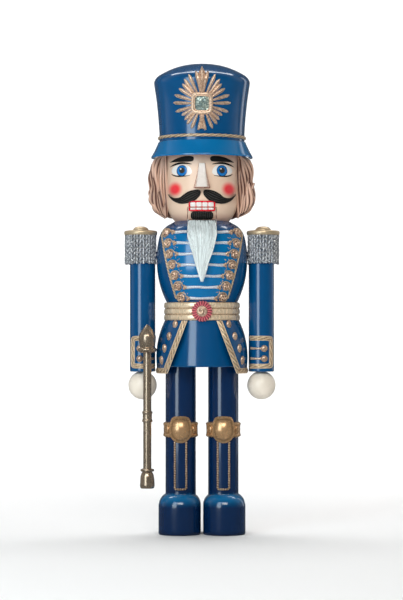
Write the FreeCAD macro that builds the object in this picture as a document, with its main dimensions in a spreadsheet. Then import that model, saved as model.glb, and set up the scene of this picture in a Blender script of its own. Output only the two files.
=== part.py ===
import FreeCAD, Part
import math
import os
import Sketcher
from FreeCAD import Placement, Rotation, Vector

# Wooden nutcracker soldier, millimetres.  It stands on z = 0 and faces -Y, +X is its left side.
# Everything is turned wood with applied trim, glued up as one piece, except the jaw: a lever on a
# cross pin at the neck, with its handle hanging down behind the back.

doc = FreeCAD.newDocument("Nutcracker")
sheet = doc.addObject("Spreadsheet::Sheet", "Sizes")

drivingSizes = [
    # boots and legs
    ("boot_offset", 17.95, "centre of a boot from the middle"),
    ("boot_half_width", 17.0, "half the width of a boot"),
    ("boot_toe", 34.0, "front of the toe from the leg axis"),
    ("boot_heel", 20.0, "back of the heel from the leg axis"),
    ("boot_height", 32.8, "sole to the top of the boot"),
    ("boot_round", 10.2, "rounding of the upper edge of the boot"),
    ("boot_socket", 12.0, "depth of leg set into the boot"),
    ("leg_radius", 12.3, "turned leg"),
    ("leg_tenon", 11.0, "depth of leg set into the skirt block"),
    ("knee_strap_height", 12.6, "height of the knee strap"),
    ("knee_strap_thick", 2.3, "thickness of the knee strap"),
    ("knee_cap_half_width", 9.4, "half the width of a knee cap"),
    ("knee_cap_height", 21.3, "height of a knee cap"),
    ("knee_cap_depth", 5.2, "how far a knee cap stands out from the leg"),
    ("boot_braid_half_gap", 3.7, "line of braid from the leg axis"),
    ("boot_braid_width", 1.8, "width of the boot braid"),
    # skirt and coat
    ("skirt_foot_radius", 32.1, "radius at the lower face"),
    ("waist_radius", 28.6, "radius under the belt"),
    ("coat_band", 4.0, "height of coat glued to the skirt block below the belt"),
    ("coat_arm_gap", 0.3, "coat braid to the arm"),
    ("coat_top_radius", 30.2, "outer radius below the belt"),
    ("coat_bell", 62.0, "radius of the bell curve of the coat"),
    ("coat_back_rise", 5.3, "rise of the hem from the side to the back"),
    ("coat_thick", 2.4, "coat shell at the hem"),
    ("coat_open_top", 11.4, "half opening of the coat at the belt"),
    ("coat_open_foot", 27.6, "half opening of the coat at the hem"),
    ("coat_braid_width", 3.3, "width of the coat braid"),
    ("coat_braid_rise", 1.1, "how far the coat braid stands out"),
    ("coat_button_radius", 3.6, "coat button"),
    ("coat_button_rise", 1.7, "how far a coat button stands out"),
    ("coat_button_pitch", 9.5, "step between coat buttons"),
    ("coat_button_angle", 42.5, "first coat button, degrees from the front"),
    ("coat_button_turn", 6.2, "degrees from one coat button to the next"),
    # belt
    ("belt_ridge", 4.87, "height of one of its three ridges"),
    ("belt_groove_radius", 29.7, "radius between the ridges"),
    ("belt_ridge_curve", 3.3, "curve of a ridge"),
    ("rosette_radius", 8.5, "belt rosette"),
    ("rosette_rise", 3.2, "rosette beyond the belt grooves"),
    ("boss_radius", 4.5, "boss on the rosette"),
    ("boss_rise", 1.8, "boss beyond the rosette"),
    # torso
    ("torso_low_radius", 29.2, "radius there"),
    ("chest_radius", 36.7, "widest radius"),
    ("belly_curve", 72.0, "curve from belt to chest"),
    ("chest_curve", 64.0, "curve from chest to shoulder"),
    ("shoulder_curve", 15.6, "curve of the shoulder"),
    # chest trim
    ("plastron_thick", 0.6, "raised front panel"),
    ("plastron_foot_half", 19.7, "half its width at the foot"),
    ("plastron_curve", 272.0, "curve of its side edges"),
    ("braid_width", 1.5, "gold line at the edge of the panel"),
    ("braid_rise", 1.4, "how far that line stands out"),
    ("chest_rows", 7, "rows of rosettes and bars"),
    ("chest_rosette_radius", 3.2, "chest rosette"),
    ("chest_rosette_rise", 2.2, "how far a chest rosette stands out"),
    ("chest_rosette_pitch", 8.62, "step between pairs"),
    ("chest_rosette_foot_half", 16.4, "lowest rosette from the middle"),
    ("chest_rosette_bow", 1.4, "outward bow of the line of rosettes"),
    ("bar_height", 2.4, "height of a chest bar"),
    ("bar_rise", 1.3, "bar beyond the panel"),
    ("bar_pitch", 8.86, "step between bars"),
    ("bar_inset", 6.4, "end of a bar from the rosette of its row"),
    ("knob_radius", 1.6, "knob at the end of a bar"),
    ("knob_rise", 1.9, "knob beyond the panel"),
    # head
    ("head_radius", 28.7, "head"),
    ("jaw_curve", 21.4, "curve of the jaw line"),
    ("nose_top_half", 3.0, "half its width at the top"),
    ("nose_foot_half", 6.4, "half its width at the foot"),
    ("nose_top_rise", 1.4, "nose beyond the head at the top"),
    ("nose_foot_rise", 9.0, "nose beyond the head at the foot"),
    ("brow_inner", 6.5, "inner end of an eyebrow"),
    ("brow_end_round", 2.6, "rounding of its inner end"),
    ("brow_rise", 0.8, "how far it stands out"),
    ("moustache_rise", 2.6, "how far it stands out"),
    ("moustache_inner", 0.8, "inner end of each half"),
    ("lip_half", 10.8, "half the width of the mouth"),
    ("lip_width", 1.15, "width of the red border"),
    ("lip_rise", 1.3, "how far the lips stand out"),
    ("tooth_rise", 0.8, "how far the teeth stand out"),
    ("tooth_gap", 0.45, "gap between two teeth"),
    ("hair_front", 3.0, "front of the hair before the head axis"),
    ("hair_upper_curve", 60.0, "curve of the upper locks"),
    ("hair_lower_curve", 24.0, "curve of the lower locks"),
    # hat
    ("hat_flare_curve", 340.0, "hollow curve of the crown side"),
    ("hat_round", 8.0, "rounding of the edge"),
    ("hat_dome_curve", 58.0, "curve of the dome"),
    ("hat_crown_flat", 4.0, "radius of the flat at its top"),
    ("band_radius", 1.35, "hat cord"),
    ("visor_thick", 1.6, "visor at its edge"),
    ("visor_back", 8.0, "back ends of the visor behind the axis"),
    # badge
    ("badge_frame_half", 8.4, "half the width of the frame"),
    ("badge_frame_width", 2.1, "width of the frame"),
    ("badge_corner", 4.6, "rounding of the frame"),
    ("badge_frame_rise", 2.6, "frame beyond the crown"),
    ("badge_gem_rise", 1.9, "stone beyond the crown"),
    ("badge_ray_rise", 1.5, "rays beyond the crown"),
    ("badge_ray_root", 8.2, "inner end of a ray"),
    ("badge_ray_side", 23.2, "reach of the rays to the sides"),
    ("badge_ray_tall", 27.5, "reach of the rays upwards"),
    ("badge_ray_swell", 0.28, "how much the slanting rays are longer"),
    ("badge_ray_step", 14.2, "degrees from one ray to the next"),
    ("badge_ray_width", 1.9, "width of a ray"),
    ("plume_half", 5.4, "half its width there"),
    ("plume_root_half", 2.4, "half its width at the frame"),
    ("tail_half", 3.8, "half its width there"),
    # arms
    ("arm_gap", 1.2, "arm to the chest"),
    ("arm_radius", 10.3, "turned arm"),
    ("peg_radius", 3.0, "shoulder peg"),
    ("peg_depth", 7.0, "shoulder peg inside the torso"),
    ("hand_radius", 11.5, "ball hand"),
    ("epaulette_shift", 1.5, "epaulette outward of the arm"),
    ("epaulette_thick", 4.0, "thickness of the board"),
    ("epaulette_button_radius", 6.1, "button on the board"),
    ("epaulette_button_height", 3.0, "its height"),
    ("fringe_thick", 1.9, "thickness of the fringe"),
    ("fringe_length", 24.3, "length of the fringe"),
    ("fringe_clearance", 0.5, "fringe to the chest trim"),
    ("cuff_corner", 2.0, "rounding of the trim's outer corners"),
    ("cuff_braid_width", 3.7, "width of the cuff braid"),
    ("cuff_braid_rise", 1.3, "how far it stands out"),
    ("cuff_panel_rise", 0.4, "painted panel inside the braid"),
    ("cuff_bar_height", 2.1, "height of a cuff bar"),
    ("cuff_bar_rise", 1.1, "how far it stands out"),
    ("cuff_bar_pitch", 8.2, "step between the bars"),
    ("cuff_button_offset", 1.6, "cuff buttons outward of the arm axis"),
    ("cuff_button_radius", 2.8, "cuff button"),
    ("cuff_button_rise", 2.0, "how far it stands out"),
    # staff
    ("staff_inward", 4.3, "staff inward of the arm axis"),
    ("staff_gap", 2.0, "staff clear of the cuff trim"),
    ("staff_radius", 3.3, "shaft"),
    ("ferrule_height", 13.4, "foot piece below its ring"),
    ("ferrule_radius", 5.9, "foot piece"),
    ("ferrule_ring", 2.3, "height of its ring"),
    ("ferrule_ring_radius", 5.6, "ring"),
    ("collar_length", 8.5, "staff collar"),
    ("staff_collar_radius", 4.2, "staff collar"),
    ("finial_ring", 4.1, "height of that ring"),
    ("finial_ring_radius", 7.4, "ring"),
    ("finial_radius", 6.9, "finial"),
    ("staff_peg_radius", 1.5, "peg from hand to shaft"),
    # jaw
    ("jaw_half", 11.25, "half the width of the lever"),
    ("jaw_gap", 0.4, "clearance at each side of the lever"),
    ("mouth_gap", 0.3, "lever below the roof of its slot"),
    ("pivot_back", 4.0, "pin behind the head axis"),
    ("pin_radius", 1.5, "cross pin"),
    ("pin_clearance", 0.05, "running fit of the lever on the pin"),
    ("jaw_face", 19.0, "front face of the lever before the head axis"),
    ("handle_gap", 1.6, "handle behind the back"),
    ("handle_thick", 6.0, "thickness of the handle"),
    ("slot_rise", 19.0, "rise of the slot roof towards the back"),
    ("slot_reach", 60.0, "length of the slot cutter each way"),
    ("goatee_half", 9.1, "half the width of the goatee"),
    ("goatee_rise", 2.3, "how far it stands out"),
    ("beard_half", 11.4, "half the width of the beard at the chin"),
    ("beard_tip_half", 1.2, "half its width at the tip"),
    ("beard_gap", 1.4, "beard to the chest bars"),
    ("beard_thick", 4.3, "thickness of the hanging beard"),
]

# widths, each a step away from another one: name, base, step from the base
widths = [
    ("leg_offset", "leg_radius", 5.0, "leg axis from the middle"),
    ("shoulder_radius", "chest_radius", -2.6, "radius where the shoulder turns in"),
    ("neck_radius", "head_radius", -6.8, "radius of the joint of torso and head"),
    ("collar_radius", "neck_radius", 3.7, "radius at the top of the shoulder curve"),
    ("plastron_top_half", "shoulder_radius", -2.4, "half the panel's width at the top"),
    ("chest_rosette_top_half", "plastron_top_half", -3.4, "highest rosette from the middle"),
    ("brow_outer", "head_radius", -3.3, "outer end of an eyebrow"),
    ("moustache_outer", "head_radius", -1.1, "outer tip"),
    ("hair_top_radius", "head_radius", 7.8, "radius of the hair under the visor"),
    ("hair_radius", "head_radius", 13.9, "widest radius of the hair"),
    ("hair_low_radius", "head_radius", 7.9, "radius where the locks turn in"),
    ("hair_foot_radius", "head_radius", -0.7, "radius at the lower ends of the locks"),
    ("hat_foot_radius", "head_radius", 5.8, "crown at the visor"),
    ("hat_edge_radius", "hat_foot_radius", 4.5, "radius of the crown's upper edge"),
    ("hat_dome_radius", "hat_edge_radius", -4.1, "radius where the edge rounding meets the dome"),
    ("visor_radius", "hat_foot_radius", 6.8, "radius of the visor's outer edge"),
    ("epaulette_radius", "arm_radius", 3.8, "board of the epaulette"),
    ("fringe_radius", "arm_radius", 3.1, "outside of the fringe"),
    ("cuff_outer", "arm_radius", -1.3, "outer edge of the cuff trim from the arm axis"),
    ("cuff_inner", "arm_radius", -1.0, "inner end of the cuff trim from the arm axis"),
    ("pin_half", "neck_radius", -1.9, "half the length of the pin"),
]

# heights, each counted from another one: name, base, rise above the base
levels = [
    ("knee_middle", "boot_height", 51.0, "height of the knee strap"),
    ("boot_braid_foot", "boot_height", 2.0, "lower end of the boot braid"),
    ("skirt_foot", "boot_height", 101.9, "lower face of the skirt block"),
    ("coat_hem", "skirt_foot", -5.3, "lower edge of the coat"),
    ("coat_button_top", "coat_hem", 39.2, "height of the first coat button"),
    ("belt_foot", "skirt_foot", 37.4, "lower edge of the belt"),
    ("torso_low", "belt_foot", 15.9, "where the torso starts to swell above the belt"),
    ("chest_height", "belt_foot", 47.5, "height of the widest part"),
    ("shoulder_height", "chest_height", 21.9, "where the shoulder turns in"),
    ("collar_height", "shoulder_height", 8.9, "top of the shoulder curve"),
    ("neck_height", "collar_height", 2.1, "joint of torso and head"),
    ("plastron_foot", "belt_foot", 17.1, "lower edge of the panel"),
    ("plastron_top", "shoulder_height", -0.1, "upper edge of the panel"),
    ("chest_rosette_top", "shoulder_height", 0.9, "height of the top pair"),
    ("bar_top", "shoulder_height", 1.3, "height of the top bar"),
    ("cheek_height", "neck_height", 18.5, "where the jaw line meets the straight of the head"),
    ("head_top", "neck_height", 55.5, "top of the head, inside the hat"),
    ("nose_top", "neck_height", 45.4, "upper end of the nose"),
    ("nose_foot", "neck_height", 25.4, "lower end of the nose"),
    ("brow_foot", "neck_height", 46.5, "lower edge at the inner end"),
    ("brow_top", "neck_height", 50.6, "upper edge"),
    ("brow_tip", "neck_height", 47.8, "height of the outer end"),
    ("moustache_top", "neck_height", 24.8, "highest part"),
    ("moustache_foot", "neck_height", 12.8, "lowest part"),
    ("moustache_tip", "neck_height", 21.6, "height of the outer tip"),
    ("mouth_top", "neck_height", 15.35, "upper edge of the mouth"),
    ("mouth_split", "neck_height", 10.2, "line that the mouth opens along"),
    ("mouth_foot", "neck_height", 6.9, "lower edge of the mouth"),
    ("hair_top", "head_top", -2.0, "top of the hair, under the visor"),
    ("hair_wide", "neck_height", 28.5, "height of the widest part"),
    ("hair_low", "neck_height", 7.0, "where the locks turn in"),
    ("hair_foot", "neck_height", 1.1, "lower ends of the locks"),
    ("hat_flare_foot", "head_top", 14.0, "where the crown starts to flare"),
    ("hat_edge_height", "head_top", 56.5, "upper edge of the crown"),
    ("hat_dome_height", "hat_edge_height", 6.0, "where the edge rounding meets the dome"),
    ("hat_top", "hat_dome_height", 9.5, "top of the figure"),
    ("band_height", "head_top", 11.9, "middle of the hat cord"),
    ("visor_foot", "head_top", -4.4, "outer edge of the visor"),
    ("visor_top", "head_top", 8.6, "where the visor leaves the crown"),
    ("badge_height", "head_top", 36.9, "middle of the badge"),
    ("plume_top", "badge_height", 29.4, "tip of the plume"),
    ("plume_wide", "badge_height", 24.9, "height of its widest part"),
    ("tail_foot", "badge_height", -21.3, "lower end of the tail"),
    ("arm_foot", "skirt_foot", -4.0, "lower end of the arm"),
    ("peg_height", "chest_height", 5.4, "height of the shoulder peg"),
    ("hand_height", "arm_foot", -11.0, "middle of the ball hand"),
    ("cuff_foot", "arm_foot", 2.7, "lower edge of the cuff trim"),
    ("cuff_top", "cuff_foot", 26.2, "upper edge of the cuff trim"),
    ("cuff_bar_low", "cuff_foot", 7.9, "height of the lower bar"),
    ("staff_foot", "hand_height", -82.4, "lower end"),
    ("collar_foot", "hand_height", -29.1, "staff collar, lower edge"),
    ("finial_foot", "hand_height", 26.5, "lower edge of the ring under the finial"),
    ("finial_shoulder", "finial_foot", 13.0, "height of the shoulder of the finial"),
    ("finial_tip", "finial_shoulder", 9.7, "tip of the finial"),
    ("pivot_height", "neck_height", 4.0, "height of the pin"),
    ("chin_foot", "neck_height", 0.4, "lower edge of the chin"),
    ("lever_foot", "neck_height", -3.5, "lower face of the lever in the neck"),
    ("handle_foot", "coat_hem", 20.6, "lower end of the handle"),
    ("handle_top", "neck_height", 5.9, "upper end of the handle"),
    ("slot_floor", "neck_height", -4.1, "floor of the slot at the back"),
    ("slot_front_floor", "neck_height", -15.9, "floor of the slot at the front"),
    ("goatee_top", "neck_height", 6.5, "upper edge of the goatee"),
    ("beard_top", "neck_height", -0.2, "upper end of the beard"),
    ("beard_tip", "beard_top", -49.8, "tip of the beard"),
]

# sizes and places that follow from the ones above
fitted = [
    ("waist_seam", "belt_foot + belt_ridge * 1.5", "joint of skirt block and torso"),
    ("arm_offset", "chest_radius + arm_gap + arm_radius", "arm axis from the middle"),
    ("epaulette_offset", "arm_offset + epaulette_shift", "middle of the epaulette"),
    ("coat_hem_radius", "chest_radius + arm_gap - coat_braid_rise - coat_arm_gap", "outer radius at the hem"),
    ("staff_offset", "arm_offset - staff_inward", "staff axis from the middle"),
    ("staff_front", "arm_radius + cuff_braid_rise + finial_ring_radius + staff_gap",
     "staff axis before the arm axis"),
    ("handle_inner", "chest_radius + handle_gap", "front face of the handle behind the axis"),
    ("beard_back", "chest_radius + plastron_thick + bar_rise + beard_gap", "back of the hanging beard before the axis"),
    ("beard_front", "beard_back + beard_thick", "front of the hanging beard before the axis"),
]

known = [name for name, size, note in drivingSizes]
known += [row[0] for row in widths + levels + fitted]


def tabulate(row, name, content, note):
    sheet.set("A%d" % row, name)
    sheet.set("B%d" % row, content)
    sheet.setAlias("B%d" % row, name)
    sheet.set("C%d" % row, note)


rows = [(name, str(size), note) for name, size, note in drivingSizes]
for table, ending, relation in ((widths, "_step", ", from "), (levels, "_above", ", above ")):
    for name, base, step, note in table:
        rows.append((name + ending, str(step), note + relation + base))
        rows.append((name, "=%s + %s" % (base, name + ending), note))
rows += [(name, "=" + formula, note) for name, formula, note in fitted]
for number, row in enumerate(rows, start=1):
    tabulate(number, *row)
doc.recompute()

worked = {}
pieces = []


def cell(formula):
    # sheet cell that holds a formula; a named size is its own cell
    if formula in known:
        return formula
    if formula not in worked:
        worked[formula] = "E%d" % (len(worked) + 1)
        sheet.set(worked[formula], "=" + formula)
        sheet.recompute()
    return worked[formula]


def worth(formula):
    # what a formula comes to
    return float(sheet.get(cell(formula)))


def bind(thing, prop, formula):
    thing.setExpression(prop, "Sizes." + cell(formula))


def put(thing, x="0", y="0", z="0", turn=None):
    if turn:
        thing.Placement = Placement(Vector(0, 0, 0), turn)
    for axis, formula in zip("xyz", (x, y, z)):
        if formula != "0":
            bind(thing, ".Placement.Base." + axis, formula)
    return thing


def keep(thing, label):
    thing.Label = label
    pieces.append(thing)
    return thing


def edgeBetween(start, end, radius):
    # straight, or an arc that bulges to the right of its travel, or to the left if radius < 0
    if not radius:
        return Part.LineSegment(Vector(*start, 0), Vector(*end, 0)), (1, 2)
    middle = ((start[0] + end[0]) / 2, (start[1] + end[1]) / 2)
    along = (end[0] - start[0], end[1] - start[1])
    chord = math.hypot(*along)
    side = math.copysign(math.sqrt(max(radius ** 2 - chord ** 2 / 4, 0)), radius) / chord
    centre = (middle[0] - along[1] * side, middle[1] + along[0] * side)
    first, last = (start, end) if radius > 0 else (end, start)
    angles = [math.atan2(p[1] - centre[1], p[0] - centre[0]) for p in (first, last)]
    circle = Part.Circle(Vector(*centre, 0), Vector(0, 0, 1), abs(radius))
    return Part.ArcOfCircle(circle, *angles), (1, 2) if radius > 0 else (2, 1)


def outline(body, plane, corners):
    # closed sketch on an origin plane; a corner is (x, y) or (x, y, radius of the edge after it)
    sketch = body.newObject("Sketcher::SketchObject", body.Name + "_sketch")
    origin = [f for f in body.Origin.OriginFeatures if f.Role == plane][0]
    sketch.AttachmentSupport = (origin, [""])
    sketch.MapMode = "FlatFace"
    spots = [(worth(c[0]), worth(c[1])) for c in corners]
    edges = []
    for number, corner in enumerate(corners):
        hollow = len(corner) > 2 and corner[2].startswith("-")
        radius = worth(corner[2].lstrip("-")) if len(corner) > 2 else 0
        shape, ends = edgeBetween(spots[number], spots[(number + 1) % len(spots)],
                                  -radius if hollow else radius)
        edges.append((sketch.addGeometry(shape), ends))
    for number, (edge, ends) in enumerate(edges):
        following, nextEnds = edges[(number + 1) % len(edges)]
        sketch.addConstraint(Sketcher.Constraint("Coincident", edge, ends[1], following, nextEnds[0]))
        for kind, position, line in (("DistanceX", 0, -2), ("DistanceY", 1, -1)):
            if abs(spots[number][position]) < 1e-9:
                sketch.addConstraint(Sketcher.Constraint("PointOnObject", edge, ends[0], line))
                continue
            where = Sketcher.Constraint(kind, -1, 1, edge, ends[0], spots[number][position])
            held = sketch.addConstraint(where)
            bind(sketch, "Constraints[%d]" % held, corners[number][position])
        if len(corners[number]) > 2:
            formula = corners[number][2].lstrip("-")
            held = sketch.addConstraint(Sketcher.Constraint("Radius", edge, worth(formula)))
            bind(sketch, "Constraints[%d]" % held, formula)
    return sketch


def turned(name, corners):
    # solid of revolution about Z from (radius, height) corners
    body = doc.addObject("PartDesign::Body", name)
    sketch = outline(body, "XZ_Plane", corners)
    revolution = body.newObject("PartDesign::Revolution", name + "_turn")
    revolution.Profile = sketch
    revolution.ReferenceAxis = (sketch, ["V_Axis"])
    revolution.Angle = 360
    return body


def prism(name, plane, corners, length, both=False):
    # outline padded along the plane's normal: XZ towards -Y, YZ towards +X, XY upwards
    body = doc.addObject("PartDesign::Body", name)
    sketch = outline(body, plane, corners)
    pad = body.newObject("PartDesign::Pad", name + "_pad")
    pad.Profile = sketch
    pad.Midplane = both
    bind(pad, "Length", length)
    return body


def rounded(body, name, wanted, radius):
    # fillet the edges whose corners all pass a test
    doc.recompute()
    base = body.Tip
    edges = ["Edge%d" % (n + 1) for n, edge in enumerate(base.Shape.Edges)
             if all(wanted(v.Point) for v in edge.Vertexes)]
    rounding = body.newObject("PartDesign::Fillet", name)
    rounding.Base = (base, edges)
    bind(rounding, "Radius", radius)
    body.Tip = rounding
    return body


def solid(kind, name, sizes, x="0", y="0", z="0", turn=None):
    # one of Part's primitives with its properties bound to the sheet
    thing = doc.addObject("Part::" + kind, name)
    for prop, formula in sizes.items():
        bind(thing, prop, formula)
    return put(thing, x, y, z, turn)


def boolean(kind, name, base, tool):
    thing = doc.addObject("Part::" + kind, name)
    thing.Base = base
    thing.Tool = tool
    return thing


def group(name, members):
    thing = doc.addObject("Part::Compound", name)
    thing.Links = members
    return thing


def applied(name, skin, shapes, below):
    # trim that follows a turned surface: what the shapes take of a larger skin, less what is below
    return boolean("Cut", name, boolean("Common", name + "_raised", skin, shapes), below)


def mirrored(corners):
    # outline at -x, walked the other way round so that its arcs keep their side
    flipped = []
    for number in range(len(corners) - 1, -1, -1):
        corner = corners[number]
        radius = corners[number - 1][2:]
        flipped.append(("-(%s)" % corner[0], corner[1]) + tuple(radius))
    return flipped


def mirroredPrisms(name, corners, length):
    return group(name, [prism(name + "_left", "XZ_Plane", corners, length),
                        prism(name + "_right", "XZ_Plane", mirrored(corners), length)])


towardsFront = Rotation(Vector(1, 0, 0), 90)       # local Z turned to -Y
towardsLeft = Rotation(Vector(0, 1, 0), 90)        # local Z turned to +X
sides = (("left", "", 1), ("right", "-", -1))      # +X is the figure's left


# legs, knees and boots

def leg(side, sign):
    return solid("Cylinder", "leg_" + side, {
        "Radius": "leg_radius",
        "Height": "skirt_foot + leg_tenon - boot_height + boot_socket",
    }, x=sign + "leg_offset", z="boot_height - boot_socket")


def boot(side, sign, legPiece):
    shape = prism("boot_block_" + side, "XY_Plane", [
        ("boot_half_width", "-(boot_toe - boot_half_width)"),
        ("boot_half_width", "boot_heel - boot_half_width", "boot_half_width"),
        ("0", "boot_heel", "boot_half_width"),
        ("-boot_half_width", "boot_heel - boot_half_width"),
        ("-boot_half_width", "-(boot_toe - boot_half_width)", "boot_half_width"),
        ("0", "-boot_toe", "boot_half_width"),
    ], "boot_height")
    top = worth("boot_height") - 0.01
    rounded(shape, "boot_rounding_" + side, lambda p: p.z > top, "boot_round")
    put(shape, x=sign + "boot_offset")
    return boolean("Cut", "boot_" + side, shape, legPiece)


def kneeStrap(side, sign):
    low, high = "knee_middle - knee_strap_height / 2", "knee_middle + knee_strap_height / 2"
    strap = turned("knee_strap_" + side, [
        ("leg_radius", low),
        ("leg_radius + knee_strap_thick * 0.6", low, "knee_strap_height * 0.75"),
        ("leg_radius + knee_strap_thick * 0.6", high),
        ("leg_radius", high),
    ])
    return put(strap, x=sign + "leg_offset")


def kneeCap(side, sign, below):
    half, tall = "knee_cap_half_width", "knee_cap_height"
    block = prism("knee_block_" + side, "XZ_Plane", [
        ("-%s * 0.5" % half, "knee_middle - %s * 0.5" % tall),
        ("%s * 0.5" % half, "knee_middle - %s * 0.5" % tall, half),
        (half, "knee_middle - %s * 0.15" % tall, "%s * 2" % half),
        ("%s * 0.85" % half, "knee_middle + %s * 0.4" % tall, "%s * 0.4" % half),
        ("%s * 0.6" % half, "knee_middle + %s * 0.5" % tall),
        ("-%s * 0.6" % half, "knee_middle + %s * 0.5" % tall, "%s * 0.4" % half),
        ("-%s * 0.85" % half, "knee_middle + %s * 0.4" % tall, "%s * 2" % half),
        ("-%s" % half, "knee_middle - %s * 0.15" % tall, half),
    ], "leg_radius + knee_cap_depth")
    put(block, x=sign + "leg_offset")
    pillow = solid("Ellipsoid", "knee_pillow_" + side, {
        "Radius1": tall + " * 0.74", "Radius2": half + " * 1.5",
        "Radius3": "leg_radius + knee_cap_depth"}, x=sign + "leg_offset", z="knee_middle")
    domed = boolean("Common", "knee_domed_" + side, block, pillow)
    return boolean("Cut", "knee_cap_" + side, domed, below)


def bootBraid(side, sign, legPiece):
    inner, outer = "boot_braid_half_gap", "boot_braid_half_gap + boot_braid_width"
    top, foot = "knee_middle - knee_cap_height / 2", "boot_braid_foot"
    shape = prism("boot_braid_shape_" + side, "XZ_Plane", [
        ("-(%s)" % outer, foot), (outer, foot), (outer, top), (inner, top),
        (inner, "%s + boot_braid_width" % foot), ("-" + inner, "%s + boot_braid_width" % foot),
        ("-" + inner, top), ("-(%s)" % outer, top),
    ], "slot_reach")
    put(shape, x=sign + "leg_offset")
    skin = solid("Cylinder", "boot_braid_skin_" + side, {
        "Radius": "leg_radius + boot_braid_width / 2", "Height": top}, x=sign + "leg_offset")
    return applied("boot_braid_" + side, skin, shape, legPiece)


legs = []
straps, caps, braids = [], [], []
for side, sign, way in sides:
    legPiece = keep(leg(side, sign), "leg_" + side)
    legs.append(legPiece)
    keep(boot(side, sign, legPiece), "boot_" + side)
    straps.append(kneeStrap(side, sign))
    caps.append(kneeCap(side, sign, group("knee_below_" + side, [legPiece, straps[-1]])))
    braids.append(bootBraid(side, sign, legPiece))
keep(group("knee_straps", straps), "knee_straps")
keep(group("knee_caps", caps), "knee_caps")
keep(group("boot_braids", braids), "boot_braids")


# jaw slot: one cutter for head, torso, hair and the trim in front of it

slot = prism("jaw_slot", "YZ_Plane", [
    ("-slot_reach", "slot_front_floor"),
    ("-jaw_face - 5", "slot_front_floor"),
    ("pivot_back", "slot_floor"),
    ("slot_reach", "slot_floor"),
    ("slot_reach", "mouth_split + slot_rise * (slot_reach - pivot_back + 1.6) / handle_inner"),
    ("pivot_back - 1.6", "mouth_split"),
    ("-slot_reach", "mouth_split"),
], "2 * jaw_half + 2 * jaw_gap", both=True)


# skirt, coat and belt

def skirtBlock():
    block = turned("skirt_turning", [
        ("0", "skirt_foot"), ("skirt_foot_radius", "skirt_foot"),
        ("waist_radius", "belt_foot - coat_band"), ("waist_radius", "waist_seam"),
        ("0", "waist_seam"),
    ])
    return boolean("Cut", "skirt_block", block, group("both_legs", legs))


def coatCorners(extra):
    return [
        ("waist_radius", "belt_foot - coat_band"),
        ("coat_hem_radius - coat_thick", "coat_hem + coat_band * 5"),
        ("coat_hem_radius - coat_thick", "coat_hem"),
        ("coat_hem_radius%s" % extra, "coat_hem"),
        ("coat_hem_radius%s" % extra, "coat_hem + coat_band", "coat_bell"),
        ("coat_top_radius%s" % extra, "belt_foot"),
        ("waist_radius", "belt_foot"),
    ]


def openingCorners(inset, foot, top):
    # front opening of the coat, narrowed by an inset at each side
    slope = "(coat_open_foot - coat_open_top) / (belt_foot - coat_hem)"
    low = "coat_open_foot + (coat_hem - (%s)) * %s - (%s)" % (foot, slope, inset)
    high = "coat_open_foot + (coat_hem - (%s)) * %s - (%s)" % (top, slope, inset)
    return [("-(%s)" % low, foot), (low, foot), (high, top), ("-(%s)" % high, top)]


hemSlope = "coat_back_rise * slot_reach / coat_hem_radius"


def coat():
    whole = turned("coat_whole", coatCorners(""))
    shell = boolean("Cut", "coat_shell", whole, prism("coat_hem_cut", "YZ_Plane", [
        ("0", "coat_hem"), ("slot_reach", "coat_hem - 1"),
        ("slot_reach", "coat_hem + " + hemSlope),
    ], "slot_reach * 2", both=True))
    opening = prism("coat_opening", "XZ_Plane",
                    openingCorners("0", "coat_hem - 1", "belt_foot + 1"), "slot_reach")
    return boolean("Cut", "coat_skirt", shell, opening)


def coatBraid(coatPiece):
    # rope along both front edges and round the hem
    skin = turned("coat_braid_skin", coatCorners(" + coat_braid_rise"))
    wide = prism("coat_braid_wide", "XZ_Plane",
                 openingCorners("-coat_braid_width", "coat_hem - 2", "belt_foot + 1"), "slot_reach")
    hem = prism("coat_hem_band", "YZ_Plane", [
        ("-slot_reach", "coat_hem"), ("0", "coat_hem"), ("slot_reach", "coat_hem + " + hemSlope),
        ("slot_reach", "coat_hem + coat_braid_width + " + hemSlope),
        ("0", "coat_hem + coat_braid_width"), ("-slot_reach", "coat_hem + coat_braid_width"),
    ], "slot_reach * 2", both=True)
    edges = doc.addObject("Part::MultiFuse", "coat_braid_reach")
    edges.Shapes = [wide, hem]
    strip = boolean("Common", "coat_braid_strip", skin, edges)
    opened = boolean("Cut", "coat_braid_opened", strip, prism(
        "coat_braid_opening", "XZ_Plane",
        openingCorners("0", "coat_hem - 3", "belt_foot + 2"), "slot_reach"))
    return boolean("Cut", "coat_braid", opened, coatPiece)


def coatButtons(coatPiece):
    # four domed buttons down each flap, each square to the bell of the coat
    buttons = []
    middle = "(coat_hem + coat_band + belt_foot) / 2"
    for side, sign, way in sides:
        for number in range(4):
            height = "coat_button_top - coat_button_pitch * %d" % number
            # chord of the bell at this height, plus its bulge there
            chord = ("coat_hem_radius + (coat_top_radius - coat_hem_radius) * "
                     "(%s - coat_hem - coat_band) / (belt_foot - coat_hem - coat_band)" % height)
            bulge = ("((belt_foot - coat_hem - coat_band)^2 / 4 - (%s - %s)^2) / (2 * coat_bell)"
                     % (height, middle))
            radius = "%s + %s" % (chord, bulge)
            angle = "coat_button_angle + coat_button_turn * %d" % number
            turn = Rotation(Vector(0, 0, 1), -90 + way * worth(angle)) * towardsLeft
            buttons.append(solid("Ellipsoid", "coat_button_%s_%d" % (side, number + 1), {
                "Radius1": "coat_button_rise", "Radius2": "coat_button_radius",
                "Radius3": "coat_button_radius",
            }, x="%s(%s) * sin(%s)" % (sign, radius, angle), y="-(%s) * cos(%s)" % (radius, angle),
                z=height, turn=turn))
    return boolean("Cut", "coat_buttons", group("coat_button_set", buttons), coatPiece)


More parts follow.
